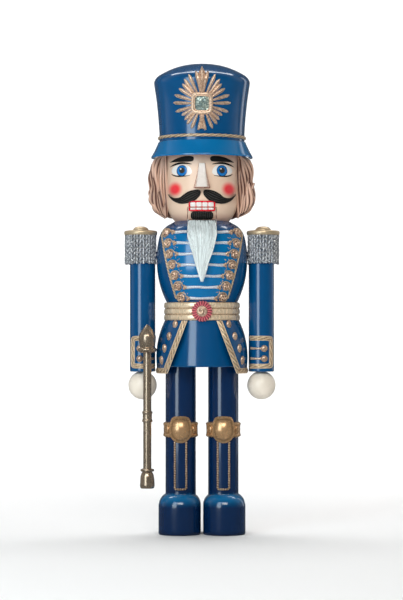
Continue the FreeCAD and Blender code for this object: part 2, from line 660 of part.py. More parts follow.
def belt():
    ridges = [("belt_groove_radius", "belt_foot + belt_ridge * %d" % n, "belt_ridge_curve")
              for n in range(3)]
    return turned("belt", [("waist_radius", "belt_foot")] + ridges + [
        ("belt_groove_radius", "belt_foot + belt_ridge * 3"),
        ("waist_radius", "belt_foot + belt_ridge * 3"),
    ])


def beltRosette(below):
    disc = solid("Cylinder", "rosette_disc", {
        "Radius": "rosette_radius", "Height": "belt_groove_radius - waist_radius + rosette_rise"},
        y="-waist_radius", z="belt_foot + belt_ridge * 1.5", turn=towardsFront)
    return boolean("Cut", "belt_rosette", disc, below)


def beltBoss():
    bead = solid("Ellipsoid", "boss_bead", {
        "Radius1": "boss_rise", "Radius2": "boss_radius", "Radius3": "boss_radius"},
        y="-(belt_groove_radius + rosette_rise)", z="belt_foot + belt_ridge * 1.5",
        turn=towardsFront)
    bead.Angle1 = 0
    return bead


keep(skirtBlock(), "skirt_block")
coatPiece = keep(coat(), "coat_skirt")
keep(coatBraid(coatPiece), "coat_braid")
keep(coatButtons(coatPiece), "coat_buttons")
beltPiece = keep(belt(), "belt")


# torso and chest trim

def torsoCorners(extra):
    return [
        ("0", "waist_seam"), ("waist_radius", "waist_seam"),
        ("waist_radius", "belt_foot + belt_ridge * 3"),
        ("torso_low_radius%s" % extra, "torso_low", "belly_curve"),
        ("chest_radius%s" % extra, "chest_height", "chest_curve"),
        ("shoulder_radius%s" % extra, "shoulder_height", "shoulder_curve"),
        ("collar_radius%s" % extra, "collar_height"),
        ("neck_radius", "neck_height"), ("0", "neck_height"),
    ]


def shoulderPegs():
    pegs = []
    for side, sign, way in sides:
        start = "chest_radius - peg_depth" if way > 0 else "-arm_offset"
        pegs.append(solid("Cylinder", "shoulder_peg_" + side, {
            "Radius": "peg_radius", "Height": "arm_offset - chest_radius + peg_depth"},
            x=start, z="peg_height", turn=towardsLeft))
    return group("shoulder_pegs", pegs)


def torso(turning, pegs):
    bored = boolean("Cut", "torso_bored", turning, pegs)
    return boolean("Cut", "torso", bored, slot)


def rosetteSpot(row):
    # the line of rosettes leans in towards the belt and bows outwards
    height = "chest_rosette_top - chest_rosette_pitch * %d" % row
    share = "(1 - %d / (chest_rows - 1))" % row
    half = ("chest_rosette_foot_half + (chest_rosette_top_half - chest_rosette_foot_half) * %s"
            " + chest_rosette_bow * 4 * %s * (1 - %s)" % (share, share, share))
    return half, height


def plastron(turning):
    skin = turned("plastron_skin", torsoCorners(" + plastron_thick"))
    shape = prism("plastron_shape", "XZ_Plane", [
        ("-plastron_foot_half", "plastron_foot"),
        ("plastron_foot_half", "plastron_foot", "plastron_curve"),
        ("plastron_top_half", "plastron_top"),
        ("-plastron_top_half", "plastron_top", "plastron_curve"),
    ], "slot_reach")
    panel = applied("plastron_panel", skin, shape, turning)
    return boolean("Cut", "plastron", panel, slot)


def chestBraids(below):
    skin = turned("chest_braid_skin", torsoCorners(" + braid_rise"))
    inner = [("plastron_foot_half", "plastron_foot"),
             ("plastron_foot_half + braid_width", "plastron_foot", "plastron_curve"),
             ("plastron_top_half + braid_width", "plastron_top"),
             ("plastron_top_half", "plastron_top", "-plastron_curve")]
    return applied("chest_braids", skin, mirroredPrisms("chest_braid_shape", inner, "slot_reach"),
                   below)


def discsOnChest(name, radius, rise, spots, below):
    skin = turned(name + "_skin", torsoCorners(" + " + rise))
    discs = []
    for number, (half, height) in enumerate(spots):
        for side, sign, way in sides:
            discs.append(solid("Cylinder", "%s_%s_%d" % (name, side, number + 1), {
                "Radius": radius, "Height": "slot_reach"}, x="%s(%s)" % (sign, half), z=height,
                turn=towardsFront))
    return applied(name, skin, group(name + "_shapes", discs), below)


def chestBars(below):
    skin = turned("chest_bar_skin", torsoCorners(" + plastron_thick + bar_rise"))
    bars = []
    for row in range(int(worth("chest_rows"))):
        half = "(%s - bar_inset)" % rosetteSpot(row)[0]
        height = "bar_top - bar_pitch * %d" % row
        bars.append(solid("Box", "chest_bar_%d" % (row + 1), {
            "Length": "2 * " + half, "Width": "slot_reach", "Height": "bar_height"},
            x="-" + half, y="-slot_reach", z="%s - bar_height / 2" % height))
    strips = applied("chest_bar_strips", skin, group("chest_bar_shapes", bars), below)
    return boolean("Cut", "chest_bars", strips, slot)


pegs = keep(shoulderPegs(), "shoulder_pegs")
torsoTurning = turned("torso_turning", torsoCorners(""))
keep(torso(torsoTurning, pegs), "torso")
keep(beltRosette(group("rosette_seat", [beltPiece, torsoTurning])), "belt_rosette")
keep(beltBoss(), "belt_boss")
plastronPiece = keep(plastron(torsoTurning), "plastron")
chestBelow = group("chest_below", [torsoTurning, plastronPiece])
braidPiece = keep(chestBraids(chestBelow), "chest_braids")
spots = [rosetteSpot(row) for row in range(int(worth("chest_rows")))]
keep(discsOnChest("chest_rosettes", "chest_rosette_radius", "chest_rosette_rise", spots,
                  group("rosette_below", [torsoTurning, plastronPiece, braidPiece])), "chest_rosettes")
barPiece = keep(chestBars(chestBelow), "chest_bars")
knobSpots = [("%s - bar_inset" % spot[0], "bar_top - bar_pitch * %d" % row)
             for row, spot in enumerate(spots)]
keep(discsOnChest("bar_knobs", "knob_radius", "plastron_thick + knob_rise", knobSpots,
                  group("knob_below", [torsoTurning, plastronPiece, barPiece])), "bar_knobs")


# head, face and hair

def headCorners(extra):
    return [
        ("0", "neck_height"), ("neck_radius%s" % extra, "neck_height", "jaw_curve"),
        ("head_radius%s" % extra, "cheek_height"), ("head_radius%s" % extra, "head_top"),
        ("0", "head_top"),
    ]


def pivotPin():
    return solid("Cylinder", "pivot_pin", {"Radius": "pin_radius", "Height": "2 * pin_half"},
                 x="-pin_half", y="pivot_back", z="pivot_height", turn=towardsLeft)


def head(turning, pin):
    return boolean("Cut", "head", boolean("Cut", "head_slotted", turning, slot), pin)


def nose(below):
    front = prism("nose_front", "XZ_Plane", [
        ("-nose_foot_half", "nose_foot"), ("nose_foot_half", "nose_foot"),
        ("nose_top_half", "nose_top"), ("-nose_top_half", "nose_top"),
    ], "slot_reach")
    side = prism("nose_side", "YZ_Plane", [
        ("-(head_radius + nose_foot_rise)", "nose_foot + 1.5"),
        ("-(head_radius + nose_foot_rise - 1)", "nose_foot"),
        ("-(head_radius - 6)", "nose_foot"),
        ("-(head_radius - 6)", "nose_top"),
        ("-(head_radius + nose_top_rise)", "nose_top"),
    ], "slot_reach", both=True)
    return boolean("Cut", "nose", boolean("Common", "nose_wedge", front, side), below)


def eyebrows(below):
    return applied("eyebrows", turned("brow_skin", headCorners(" + brow_rise")), mirroredPrisms(
        "brow_shape", [
            ("brow_inner", "brow_foot"), ("brow_outer", "brow_tip"),
            ("brow_inner + 5", "brow_top"), ("brow_inner + 1", "brow_top", "brow_end_round"),
        ], "slot_reach"), below)


def moustache(below):
    tall = "(moustache_top - moustache_foot)"
    wide = "(moustache_outer - moustache_inner)"
    corners = [
        ("moustache_inner", "moustache_top - %s * 0.4" % tall),
        ("moustache_inner + %s * 0.36" % wide, "moustache_foot", "%s * 0.6" % wide),
        ("moustache_outer", "moustache_tip", "-%s * 0.45" % wide),
        ("moustache_inner + %s * 0.56" % wide, "moustache_top - %s * 0.42" % tall,
         "%s * 1.2" % wide),
        ("moustache_inner + %s * 0.16" % wide, "moustache_top", "%s * 0.3" % wide),
        ("moustache_inner", "moustache_top - %s * 0.16" % tall),
    ]
    return applied("moustache", turned("moustache_skin", headCorners(" + moustache_rise")),
                   mirroredPrisms("moustache_shape", corners, "slot_reach"), below)


def mouthBorder(name, foot, top, open, below):
    # three sides of the red border; it is open on the side where the mouth splits
    inner = "lip_half - lip_width"
    if open == "below":
        bar = "(%s) - lip_width" % top
        corners = [("-lip_half", foot), ("-(%s)" % inner, foot), ("-(%s)" % inner, bar),
                   (inner, bar), (inner, foot), ("lip_half", foot), ("lip_half", top),
                   ("-lip_half", top)]
    else:
        bar = "(%s) + lip_width" % foot
        corners = [("-lip_half", foot), ("lip_half", foot), ("lip_half", top), (inner, top),
                   (inner, bar), ("-(%s)" % inner, bar), ("-(%s)" % inner, top),
                   ("-lip_half", top)]
    shape = prism(name + "_shape", "XZ_Plane", corners, "slot_reach")
    return applied(name, turned(name + "_skin", headCorners(" + lip_rise")), shape, below)


def teeth(name, foot, top, below):
    # four teeth in a row between the borders
    width = "(2 * (lip_half - lip_width) - 3 * tooth_gap) / 4"
    row = []
    for number in range(4):
        row.append(solid("Box", "%s_%d" % (name, number + 1), {
            "Length": width, "Width": "slot_reach", "Height": "%s - (%s)" % (top, foot)},
            x="lip_width - lip_half + %d * (%s + tooth_gap)" % (number, width),
            y="-slot_reach", z=foot))
    return applied(name, turned(name + "_skin", headCorners(" + tooth_rise")),
                   group(name + "_shapes", row), below)


def hair(turning):
    mass = turned("hair_turning", [
        ("0", "hair_foot"), ("hair_foot_radius", "hair_foot"),
        ("hair_low_radius", "hair_low", "hair_lower_curve"),
        ("hair_radius", "hair_wide", "hair_upper_curve"),
        ("hair_top_radius", "hair_top"), ("0", "hair_top"),
    ])
    face = solid("Box", "hair_face", {
        "Length": "2 * slot_reach", "Width": "slot_reach", "Height": "head_top"},
        x="-slot_reach", y="-slot_reach - hair_front")
    off = boolean("Cut", "hair_behind", mass, group("hair_off", [face]))
    around = boolean("Cut", "hair_around", off, turning)
    return boolean("Cut", "hair", around, slot)


headTurning = turned("head_turning", headCorners(""))
pin = keep(pivotPin(), "pivot_pin")
keep(head(headTurning, pin), "head")
keep(nose(headTurning), "nose")
keep(eyebrows(headTurning), "eyebrows")
upperFoot = "mouth_split + mouth_gap"
upperLip = keep(mouthBorder("upper_lip", upperFoot, "mouth_top", "below", headTurning), "upper_lip")
upperTeeth = keep(teeth("upper_teeth", upperFoot, "mouth_top - lip_width", headTurning),
                  "upper_teeth")
keep(moustache(group("moustache_below", [headTurning, upperLip, upperTeeth])), "moustache")
keep(hair(headTurning), "hair")


# hat and badge

def hatCorners(extra):
    return [
        ("0", "head_top"), ("hat_foot_radius%s" % extra, "head_top"),
        ("hat_foot_radius%s" % extra, "hat_flare_foot", "-hat_flare_curve"),
        ("hat_edge_radius%s" % extra, "hat_edge_height", "hat_round"),
        ("hat_dome_radius%s" % extra, "hat_dome_height", "hat_dome_curve"),
        ("hat_crown_flat", "hat_top%s" % extra), ("0", "hat_top%s" % extra),
    ]


def hatBand():
    return turned("hat_band", [
        ("hat_foot_radius", "band_height - band_radius"),
        ("hat_foot_radius + band_radius * 0.3", "band_height - band_radius", "band_radius * 1.1"),
        ("hat_foot_radius + band_radius * 0.3", "band_height + band_radius"),
        ("hat_foot_radius", "band_height + band_radius"),
    ])


def visor(crown):
    cone = turned("visor_cone", [
        ("hat_foot_radius - 1", "visor_top - 5"), ("visor_radius - visor_thick", "visor_foot"),
        ("visor_radius", "visor_foot"), ("hat_foot_radius + 0.8", "visor_top"),
        ("hat_foot_radius - 1", "visor_top"),
    ])
    back = solid("Box", "visor_back_cut", {
        "Length": "2 * slot_reach", "Width": "slot_reach", "Height": "hat_top"},
        x="-slot_reach", y="visor_back")
    return boolean("Cut", "hat_visor", boolean("Cut", "visor_front", cone, back), crown)


def roundedSquare(half, corner):
    middle = "badge_height"
    straight = "(%s - %s)" % (half, corner)
    return [
        ("-" + straight, "%s - %s" % (middle, half)),
        (straight, "%s - %s" % (middle, half), corner),
        (half, "%s - %s" % (middle, straight)), (half, "%s + %s" % (middle, straight), corner),
        (straight, "%s + %s" % (middle, half)),
        ("-" + straight, "%s + %s" % (middle, half), corner),
        ("-" + half, "%s + %s" % (middle, straight)),
        ("-" + half, "%s - %s" % (middle, straight), corner),
    ]


def badgeRays(below):
    # each side has eleven rays; their lengths follow a lozenge with its points at the sides
    rays = []
    for side, sign, way in sides:
        for number in range(11):
            angle = "badge_ray_step * %d" % (number - 5)
            lozenge = "abs(cos(%s)) / badge_ray_side + abs(sin(%s)) / badge_ray_tall" % (angle, angle)
            length = "(1 + badge_ray_swell * abs(sin(2 * %s))) / (%s)" % (angle, lozenge)
            degrees = worth(angle)
            turn = Rotation(Vector(0, 1, 0), 180 + degrees if sign else -degrees)
            ray = solid("Wedge", "badge_ray_%s_%d" % (side, number + 1), {
                "Xmin": "badge_ray_root", "Xmax": length, "Ymin": "-slot_reach",
                "Zmin": "-badge_ray_width / 2", "Zmax": "badge_ray_width / 2",
                "X2min": "badge_ray_root", "X2max": length,
                "Z2min": "-badge_ray_width / 2", "Z2max": "badge_ray_width / 2",
            }, z="badge_height", turn=turn)
            ray.Ymax = 0
            rays.append(ray)
    return applied("badge_rays", turned("ray_skin", hatCorners(" + badge_ray_rise")),
                   group("ray_shapes", rays), below)


def badgeFrame(crown):
    # frame with the plume above and the tail below, one casting
    outer = prism("frame_outer", "XZ_Plane", roundedSquare("badge_frame_half", "badge_corner"),
                  "slot_reach")
    plume = prism("frame_plume", "XZ_Plane", [
        ("plume_root_half", "badge_height"), ("plume_half", "plume_wide"),
        ("plume_half * 0.45", "plume_wide - 1"), ("0", "plume_top"),
        ("-plume_half * 0.45", "plume_wide - 1"), ("-plume_half", "plume_wide"),
        ("-plume_root_half", "badge_height"),
    ], "slot_reach")
    tail = prism("frame_tail", "XZ_Plane", [
        ("-tail_half", "tail_foot"), ("-tail_half * 0.4", "tail_foot + 1"), ("0", "tail_foot"),
        ("tail_half * 0.4", "tail_foot + 1"), ("tail_half", "tail_foot"),
        ("plume_root_half * 0.8", "tail_foot + 6"), ("plume_root_half", "badge_height"),
        ("-plume_root_half", "badge_height"), ("-plume_root_half * 0.8", "tail_foot + 6"),
    ], "slot_reach")
    whole = doc.addObject("Part::MultiFuse", "frame_whole")
    whole.Shapes = [outer, plume, tail]
    window = prism("frame_window", "XZ_Plane", roundedSquare(
        "(badge_frame_half - badge_frame_width)", "(badge_corner - badge_frame_width * 0.6)"),
        "slot_reach")
    shape = boolean("Cut", "frame_shape", whole, window)
    return applied("badge_frame", turned("frame_skin", hatCorners(" + badge_frame_rise")), shape,
                   crown)


def badgeGem(below):
    shape = prism("gem_shape", "XZ_Plane", roundedSquare(
        "(badge_frame_half - badge_frame_width)", "(badge_corner - badge_frame_width * 0.6)"),
        "slot_reach")
    return applied("badge_gem", turned("gem_skin", hatCorners(" + badge_gem_rise")), shape, below)


crown = keep(turned("hat_crown", hatCorners("")), "hat_crown")
keep(hatBand(), "hat_band")
keep(visor(crown), "hat_visor")
frame = keep(badgeFrame(crown), "badge_frame")
gem = keep(badgeGem(group("gem_below", [crown, frame])), "badge_gem")
keep(badgeRays(group("ray_below", [crown, frame, gem])), "badge_rays")


# arms, epaulettes, cuffs and hands

armTop = "shoulder_height"


def arm(side, sign, pegs):
    rod = solid("Cylinder", "arm_rod_" + side, {
        "Radius": "arm_radius", "Height": "%s - arm_foot" % armTop},
        x=sign + "arm_offset", z="arm_foot")
    return boolean("Cut", "arm_" + side, rod, pegs)


def hand(side, sign, armPiece):
    ball = solid("Sphere", "hand_ball_" + side, {"Radius": "hand_radius"},
                 x=sign + "arm_offset", z="hand_height")
    return boolean("Cut", "hand_" + side, ball, armPiece)


def epauletteBoard(side, sign):
    board = turned("epaulette_board_" + side, [
        ("0", armTop),
        ("epaulette_radius - epaulette_thick / 2", armTop, "epaulette_thick / 1.9"),
        ("epaulette_radius - epaulette_thick / 2", armTop + " + epaulette_thick"),
        ("0", armTop + " + epaulette_thick"),
    ])
    return put(board, x=sign + "epaulette_offset")


def epauletteButton(side, sign):
    base = armTop + " + epaulette_thick"
    button = turned("epaulette_button_" + side, [
        ("0", base), ("epaulette_button_radius", base),
        ("epaulette_button_radius", "%s + epaulette_button_height * 0.35" % base,
         "epaulette_button_radius * 0.7"),
        ("epaulette_button_radius * 0.4", "%s + epaulette_button_height" % base),
        ("0", "%s + epaulette_button_height" % base),
    ])
    return put(button, x=sign + "epaulette_offset")


def fringe(side, sign, armPiece, pegs):
    # the inner side is open, where the torso is
    ring = turned("fringe_ring_" + side, [
        ("fringe_radius - fringe_thick", armTop + " - fringe_length"),
        ("fringe_radius", armTop + " - fringe_length"), ("fringe_radius", armTop),
        ("fringe_radius - fringe_thick", armTop),
    ])
    put(ring, x=sign + "epaulette_offset")
    chest = solid("Cylinder", "fringe_room_" + side, {
        "Radius": "chest_radius + plastron_thick + fringe_clearance", "Height": "hat_top"})
    opened = boolean("Cut", "fringe_open_" + side, ring, chest)
    room = group("fringe_below_" + side, [armPiece, pegs])
    return boolean("Cut", "epaulette_fringe_" + side, opened, room)


def cuffFrameCorners():
    width = "cuff_braid_width"
    return [
        ("-cuff_inner", "cuff_foot"), ("cuff_outer - cuff_corner", "cuff_foot", "cuff_corner"),
        ("cuff_outer", "cuff_foot + cuff_corner"),
        ("cuff_outer", "cuff_top - cuff_corner", "cuff_corner"),
        ("cuff_outer - cuff_corner", "cuff_top"), ("-cuff_inner", "cuff_top"),
        ("-cuff_inner", "cuff_top - " + width),
        ("cuff_outer - %s * 0.8" % width, "cuff_top - " + width),
        ("cuff_outer - %s * 0.8" % width, "cuff_foot + " + width),
        ("-cuff_inner", "cuff_foot + " + width),
    ]


def cuffPanelCorners():
    width = "cuff_braid_width"
    return [
        ("-cuff_inner", "cuff_foot + " + width),
        ("cuff_outer - %s * 0.8" % width, "cuff_foot + " + width),
        ("cuff_outer - %s * 0.8" % width, "cuff_top - " + width),
        ("-cuff_inner", "cuff_top - " + width),
    ]


def cuffTrim(name, side, sign, way, corners, rise, below):
    shape = prism("%s_shape_%s" % (name, side), "XZ_Plane",
                  corners if way > 0 else mirrored(corners), "slot_reach")
    put(shape, x=sign + "arm_offset")
    skin = solid("Cylinder", "%s_skin_%s" % (name, side), {
        "Radius": "arm_radius + " + rise, "Height": "cuff_top"}, x=sign + "arm_offset")
    return applied("%s_%s" % (name, side), skin, shape, below)


def cuffBars(side, sign, way, below):
    skin = solid("Cylinder", "cuff_bar_skin_" + side, {
        "Radius": "arm_radius + cuff_bar_rise", "Height": "cuff_top"}, x=sign + "arm_offset")
    length = "cuff_inner + cuff_button_offset"
    start = "arm_offset - cuff_inner" if way > 0 else "-arm_offset - cuff_button_offset"
    bars = []
    for number in range(2):
        bars.append(solid("Box", "cuff_bar_%s_%d" % (side, number + 1), {
            "Length": length, "Width": "slot_reach", "Height": "cuff_bar_height"},
            x=start, y="-slot_reach",
            z="cuff_bar_low + cuff_bar_pitch * %d - cuff_bar_height / 2" % number))
    return applied("cuff_bars_" + side, skin, group("cuff_bar_shapes_" + side, bars), below)


def cuffButtons(side, sign, way, below):
    buttons = []
    spread = "cuff_button_offset"
    for number in range(2):
        buttons.append(solid("Ellipsoid", "cuff_button_%s_%d" % (side, number + 1), {
            "Radius1": "cuff_button_rise", "Radius2": "cuff_button_radius",
            "Radius3": "cuff_button_radius",
        }, x="%s(arm_offset + %s)" % (sign, spread), y="-sqrt(arm_radius^2 - %s^2)" % spread,
            z="cuff_bar_low + cuff_bar_pitch * %d" % number, turn=towardsFront))
    return boolean("Cut", "cuff_buttons_" + side, group("cuff_button_set_" + side, buttons), below)


hands, cuffSets = {}, {"cuff_panels": [], "cuff_braids": [], "cuff_bars": [], "cuff_buttons": []}
epauletteButtons = []
for side, sign, way in sides:
    armPiece = keep(arm(side, sign, pegs), "arm_" + side)
    hands[side] = keep(hand(side, sign, armPiece), "hand_" + side)
    keep(epauletteBoard(side, sign), "epaulette_board_" + side)
    epauletteButtons.append(epauletteButton(side, sign))
    keep(fringe(side, sign, armPiece, pegs), "epaulette_fringe_" + side)
    panel = cuffTrim("cuff_panel", side, sign, way, cuffPanelCorners(), "cuff_panel_rise", armPiece)
    braid = cuffTrim("cuff_braid", side, sign, way, cuffFrameCorners(), "cuff_braid_rise", armPiece)
    cuffBelow = group("cuff_below_" + side, [armPiece, panel])
    bars = cuffBars(side, sign, way, cuffBelow)
    buttons = cuffButtons(side, sign, way, group("button_below_" + side, [armPiece, panel, bars]))
    for name, member in zip(cuffSets, (panel, braid, bars, buttons)):
        cuffSets[name].append(member)
keep(group("epaulette_buttons", epauletteButtons), "epaulette_buttons")
for name, members in cuffSets.items():
    keep(group(name, members), name)


# staff, in front of the right hand

def onStaff(thing):
    return put(thing, x="-staff_offset", y="-staff_front")


def staffShaft():
    top, low = "collar_foot + collar_length", "collar_foot"
    return onStaff(turned("staff_shaft", [
        ("0", "staff_foot + ferrule_height + ferrule_ring"),
        ("staff_radius", "staff_foot + ferrule_height + ferrule_ring"),
        ("staff_radius", low), ("staff_collar_radius", low),
        ("staff_collar_radius", low + " + 1.6"), ("staff_collar_radius - 0.5", low + " + 2"),
        ("staff_collar_radius - 0.5", top + " - 2"), ("staff_collar_radius", top + " - 1.6"),
        ("staff_collar_radius", top), ("staff_radius", top),
        ("staff_radius", "finial_foot"), ("0", "finial_foot"),
    ]))


def staffFinial():
    return onStaff(turned("staff_finial", [
        ("0", "finial_foot"),
        ("finial_ring_radius - 1.2", "finial_foot", "finial_ring / 1.9"),
        ("finial_ring_radius - 1.2", "finial_foot + finial_ring"),
        ("finial_radius - 1.4", "finial_foot + finial_ring", "finial_radius * 2.6"),
        ("finial_radius", "finial_shoulder"),
        ("finial_radius - 0.6", "finial_shoulder + 1", "finial_radius * 2.6"),
        ("finial_radius * 0.16", "finial_tip - 0.8"),
        ("finial_radius * 0.08", "finial_tip"), ("0", "finial_tip"),
    ]))


def staffFerrule():
    ring = "staff_foot + ferrule_height"
    return onStaff(turned("staff_ferrule", [
        ("0", "staff_foot"),
        ("ferrule_radius - 0.6", "staff_foot"), ("ferrule_radius", "staff_foot + 2"),
        ("ferrule_radius - 0.4", "staff_foot + ferrule_height * 0.7", "ferrule_radius"),
        ("staff_radius + 0.6", ring), ("ferrule_ring_radius - 0.8", ring, "ferrule_ring / 1.9"),
        ("ferrule_ring_radius - 0.8", ring + " + ferrule_ring"), ("0", ring + " + ferrule_ring"),
    ]))


def staffPeg(handPiece, shaft):
    # from the ball of the hand into the shaft
    across = worth("arm_offset - staff_offset")
    forward = worth("staff_front")
    turn = Rotation(Vector(0, 0, 1), Vector(across, -forward, 0))
    rod = solid("Cylinder", "staff_peg_rod", {
        "Radius": "staff_peg_radius", "Height": "sqrt((arm_offset - staff_offset)^2 + staff_front^2)"},
        x="-arm_offset", z="hand_height", turn=turn)
    return boolean("Cut", "staff_peg", rod, group("staff_peg_below", [handPiece, shaft]))


shaft = keep(staffShaft(), "staff_shaft")
keep(staffFinial(), "staff_finial")
keep(staffFerrule(), "staff_ferrule")
keep(staffPeg(hands["right"], shaft), "staff_peg")


# jaw: lever, chin, teeth, lip, goatee and beard

def jawLever():
    top = "mouth_split - mouth_gap"
    back = "handle_inner + handle_thick"
    board = prism("jaw_board", "YZ_Plane", [
        ("-jaw_face", "chin_foot"), ("-jaw_face / 2", "lever_foot + 1.3"),
        ("pivot_back", "lever_foot"), ("handle_inner", "lever_foot"),
        ("handle_inner", "handle_foot"), (back, "handle_foot"), (back, "handle_top"),
        ("handle_inner / 2", top), ("-jaw_face", top),
    ], "2 * jaw_half", both=True)
    bore = solid("Cylinder", "jaw_bore", {
        "Radius": "pin_radius + pin_clearance", "Height": "4 * jaw_half"},
        x="-2 * jaw_half", y="pivot_back", z="pivot_height", turn=towardsLeft)
    return boolean("Cut", "jaw_lever", board, bore)


def chinPlate(turning):
    block = solid("Box", "chin_block", {
        "Length": "2 * jaw_half", "Width": "slot_reach",
        "Height": "mouth_split - mouth_gap - chin_foot"},
        x="-jaw_half", y="-slot_reach - jaw_face", z="chin_foot")
    return boolean("Common", "chin_plate", turning, block)


def goatee(below):
    shape = prism("goatee_shape", "XZ_Plane", [
        ("-goatee_half * 0.8", "chin_foot"), ("goatee_half * 0.8", "chin_foot", "goatee_half"),
        ("goatee_half * 0.8", "goatee_top"), ("-goatee_half * 0.8", "goatee_top", "goatee_half"),
    ], "slot_reach")
    return applied("goatee", turned("goatee_skin", headCorners(" + goatee_rise")), shape, below)


def beard():
    # hangs from the underside of the chin, clear of the chest trim behind it
    side = prism("beard_side", "YZ_Plane", [
        ("-(neck_radius + 1.5)", "beard_top"),
        ("-(neck_radius + 8)", "beard_top - 6.5"),
        ("-(beard_back - 3)", "beard_top - 12"),
        ("-beard_back", "beard_top - 20"), ("-beard_back", "beard_tip + 10"),
        ("-(beard_back - 0.6)", "beard_tip"), ("-(beard_back + 0.4)", "beard_tip"),
        ("-(beard_front - 1.2)", "beard_tip + 14"),
        ("-beard_front", "beard_top - 22"), ("-(beard_front - 4)", "beard_top - 8"),
        ("-(neck_radius + 8)", "beard_top"),
    ], "2 * beard_half", both=True)
    front = prism("beard_front_shape", "XZ_Plane", [
        ("-beard_tip_half", "beard_tip"), ("beard_tip_half", "beard_tip"),
        ("beard_half * 0.72", "(beard_top + beard_tip) / 2"), ("beard_half", "beard_top - 9"),
        ("beard_half", "beard_top"), ("-beard_half", "beard_top"),
        ("-beard_half", "beard_top - 9"), ("-beard_half * 0.72", "(beard_top + beard_tip) / 2"),
    ], "slot_reach")
    return boolean("Common", "beard", side, front)


keep(jawLever(), "jaw_lever")
keep(chinPlate(headTurning), "chin_plate")
lowerTop = "mouth_split - mouth_gap"
lip = keep(mouthBorder("lower_lip", "mouth_foot", lowerTop, "above", headTurning), "lower_lip")
keep(teeth("lower_teeth", "mouth_foot + lip_width", lowerTop, headTurning), "lower_teeth")
keep(goatee(group("goatee_below", [headTurning, lip])), "goatee")
keep(beard(), "beard")


# check and write

doc.recompute()
failed = [thing.Name for thing in doc.Objects
          if any(word in ("Invalid", "Error") for word in thing.State)]
if failed:
    raise RuntimeError("these features failed: " + ", ".join(failed))
labels = [piece.Label for piece in pieces]
if len(set(labels)) != len(labels):
    raise RuntimeError("two sub-parts share a label")
for piece in pieces:
    if piece.Shape.isNull() or not piece.Shape.isValid() or not piece.Shape.Solids:
        raise RuntimeError("%s has no valid solid" % piece.Label)
os.makedirs("parts", exist_ok=True)
for piece in pieces:
    piece.Shape.exportStep(os.path.join("parts", piece.Label + ".step"))
print(len(pieces), "sub-parts written")
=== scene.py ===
import math
import bmesh
import bpy
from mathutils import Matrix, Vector
import numpy as np


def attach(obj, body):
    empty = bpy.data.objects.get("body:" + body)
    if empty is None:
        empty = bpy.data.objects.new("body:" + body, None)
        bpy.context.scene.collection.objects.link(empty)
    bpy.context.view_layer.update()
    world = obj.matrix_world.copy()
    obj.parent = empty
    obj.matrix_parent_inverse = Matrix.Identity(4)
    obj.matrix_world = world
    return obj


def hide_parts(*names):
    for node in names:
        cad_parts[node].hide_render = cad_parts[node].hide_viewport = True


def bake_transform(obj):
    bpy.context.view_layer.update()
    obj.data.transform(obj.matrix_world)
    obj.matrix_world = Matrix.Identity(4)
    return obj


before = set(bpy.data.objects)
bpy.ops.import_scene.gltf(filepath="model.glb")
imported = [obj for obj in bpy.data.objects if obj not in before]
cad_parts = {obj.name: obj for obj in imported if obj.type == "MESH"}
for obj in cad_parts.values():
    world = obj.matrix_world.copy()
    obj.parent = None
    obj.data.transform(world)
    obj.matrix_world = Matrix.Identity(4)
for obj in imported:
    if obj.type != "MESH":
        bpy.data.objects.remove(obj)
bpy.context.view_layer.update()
print("frame loaded:", len(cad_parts), "nodes")

mm = 0.001
seed = np.random.default_rng(15)
sinkDepth = {"dome": 0.6, "strip": 0.4}  # how far the backs of raised parts lie under the surface


# surfaces: every shape below is a grid of points in millimetres

# quads between the rows of a grid of points, closed round each row and, with alongClosed, from the
# last row to the first; otherwise fans close the first and last rows
# tone is 1 on open surfaces and lower in grooves, creases and hollows, where the finishes paint
# shade
def gridPart(points, alongClosed=False, caps=True, tone=None, shade=0.5):
    rows, cols = points.shape[:2]
    tones = np.ones((rows, cols)) if tone is None else np.broadcast_to(tone, (rows, cols))
    verts, tones = points.reshape(-1, 3), tones.reshape(-1)
    i, j = np.meshgrid(np.arange(rows if alongClosed else rows - 1), np.arange(cols), indexing="ij")
    i, j = i.ravel(), j.ravel()
    nextI, nextJ = (i + 1) % rows, (j + 1) % cols
    quads = np.stack([i * cols + j, i * cols + nextJ, nextI * cols + nextJ, nextI * cols + j], 1)
    corner = [(i, j), (i, j + 1), (i + 1, j + 1), (i + 1, j)]
    quadUv = np.stack([np.stack([b / cols, a / rows], 1) for a, b in corner], 1)
    tris, triUv = np.zeros((0, 3), int), np.zeros((0, 3, 2))
    if caps and not alongClosed:
        for row, way in ((0, 1), (rows - 1, -1)):
            middle = len(verts)
            verts = np.vstack([verts, points[row].mean(0)])
            tones = np.append(tones, tones[row * cols:(row + 1) * cols].mean())
            a = row * cols + np.arange(cols)
            b = row * cols + (np.arange(cols) + 1) % cols
            tris = np.vstack([tris, np.stack([np.full(cols, middle), b, a], 1)[:, ::way]])
            turn = np.arange(cols) / cols * 2 * math.pi
            rim = np.stack([0.5 + 0.5 * np.cos(turn), 0.5 + 0.5 * np.sin(turn)], 1)
            uv = np.stack([np.full((cols, 2), 0.5), np.roll(rim, -1, 0), rim], 1)[:, ::way]
            triUv = np.vstack([triUv, uv])
    p, q, r, s = (verts[quads[:, k]] for k in range(4))
    volume = np.einsum("ij,ij->i", p, np.cross(q, r) + np.cross(r, s)).sum()
    p, q, r = (verts[tris[:, k]] for k in range(3))
    volume += np.einsum("ij,ij->i", p, np.cross(q, r)).sum()
    if volume < 0:
        quads, quadUv = quads[:, ::-1], quadUv[:, ::-1]
        tris, triUv = tris[:, ::-1], triUv[:, ::-1]
    return {"verts": verts, "tone": tones, "quads": quads, "tris": tris, "quadUv": quadUv,
            "triUv": triUv, "shade": shade}


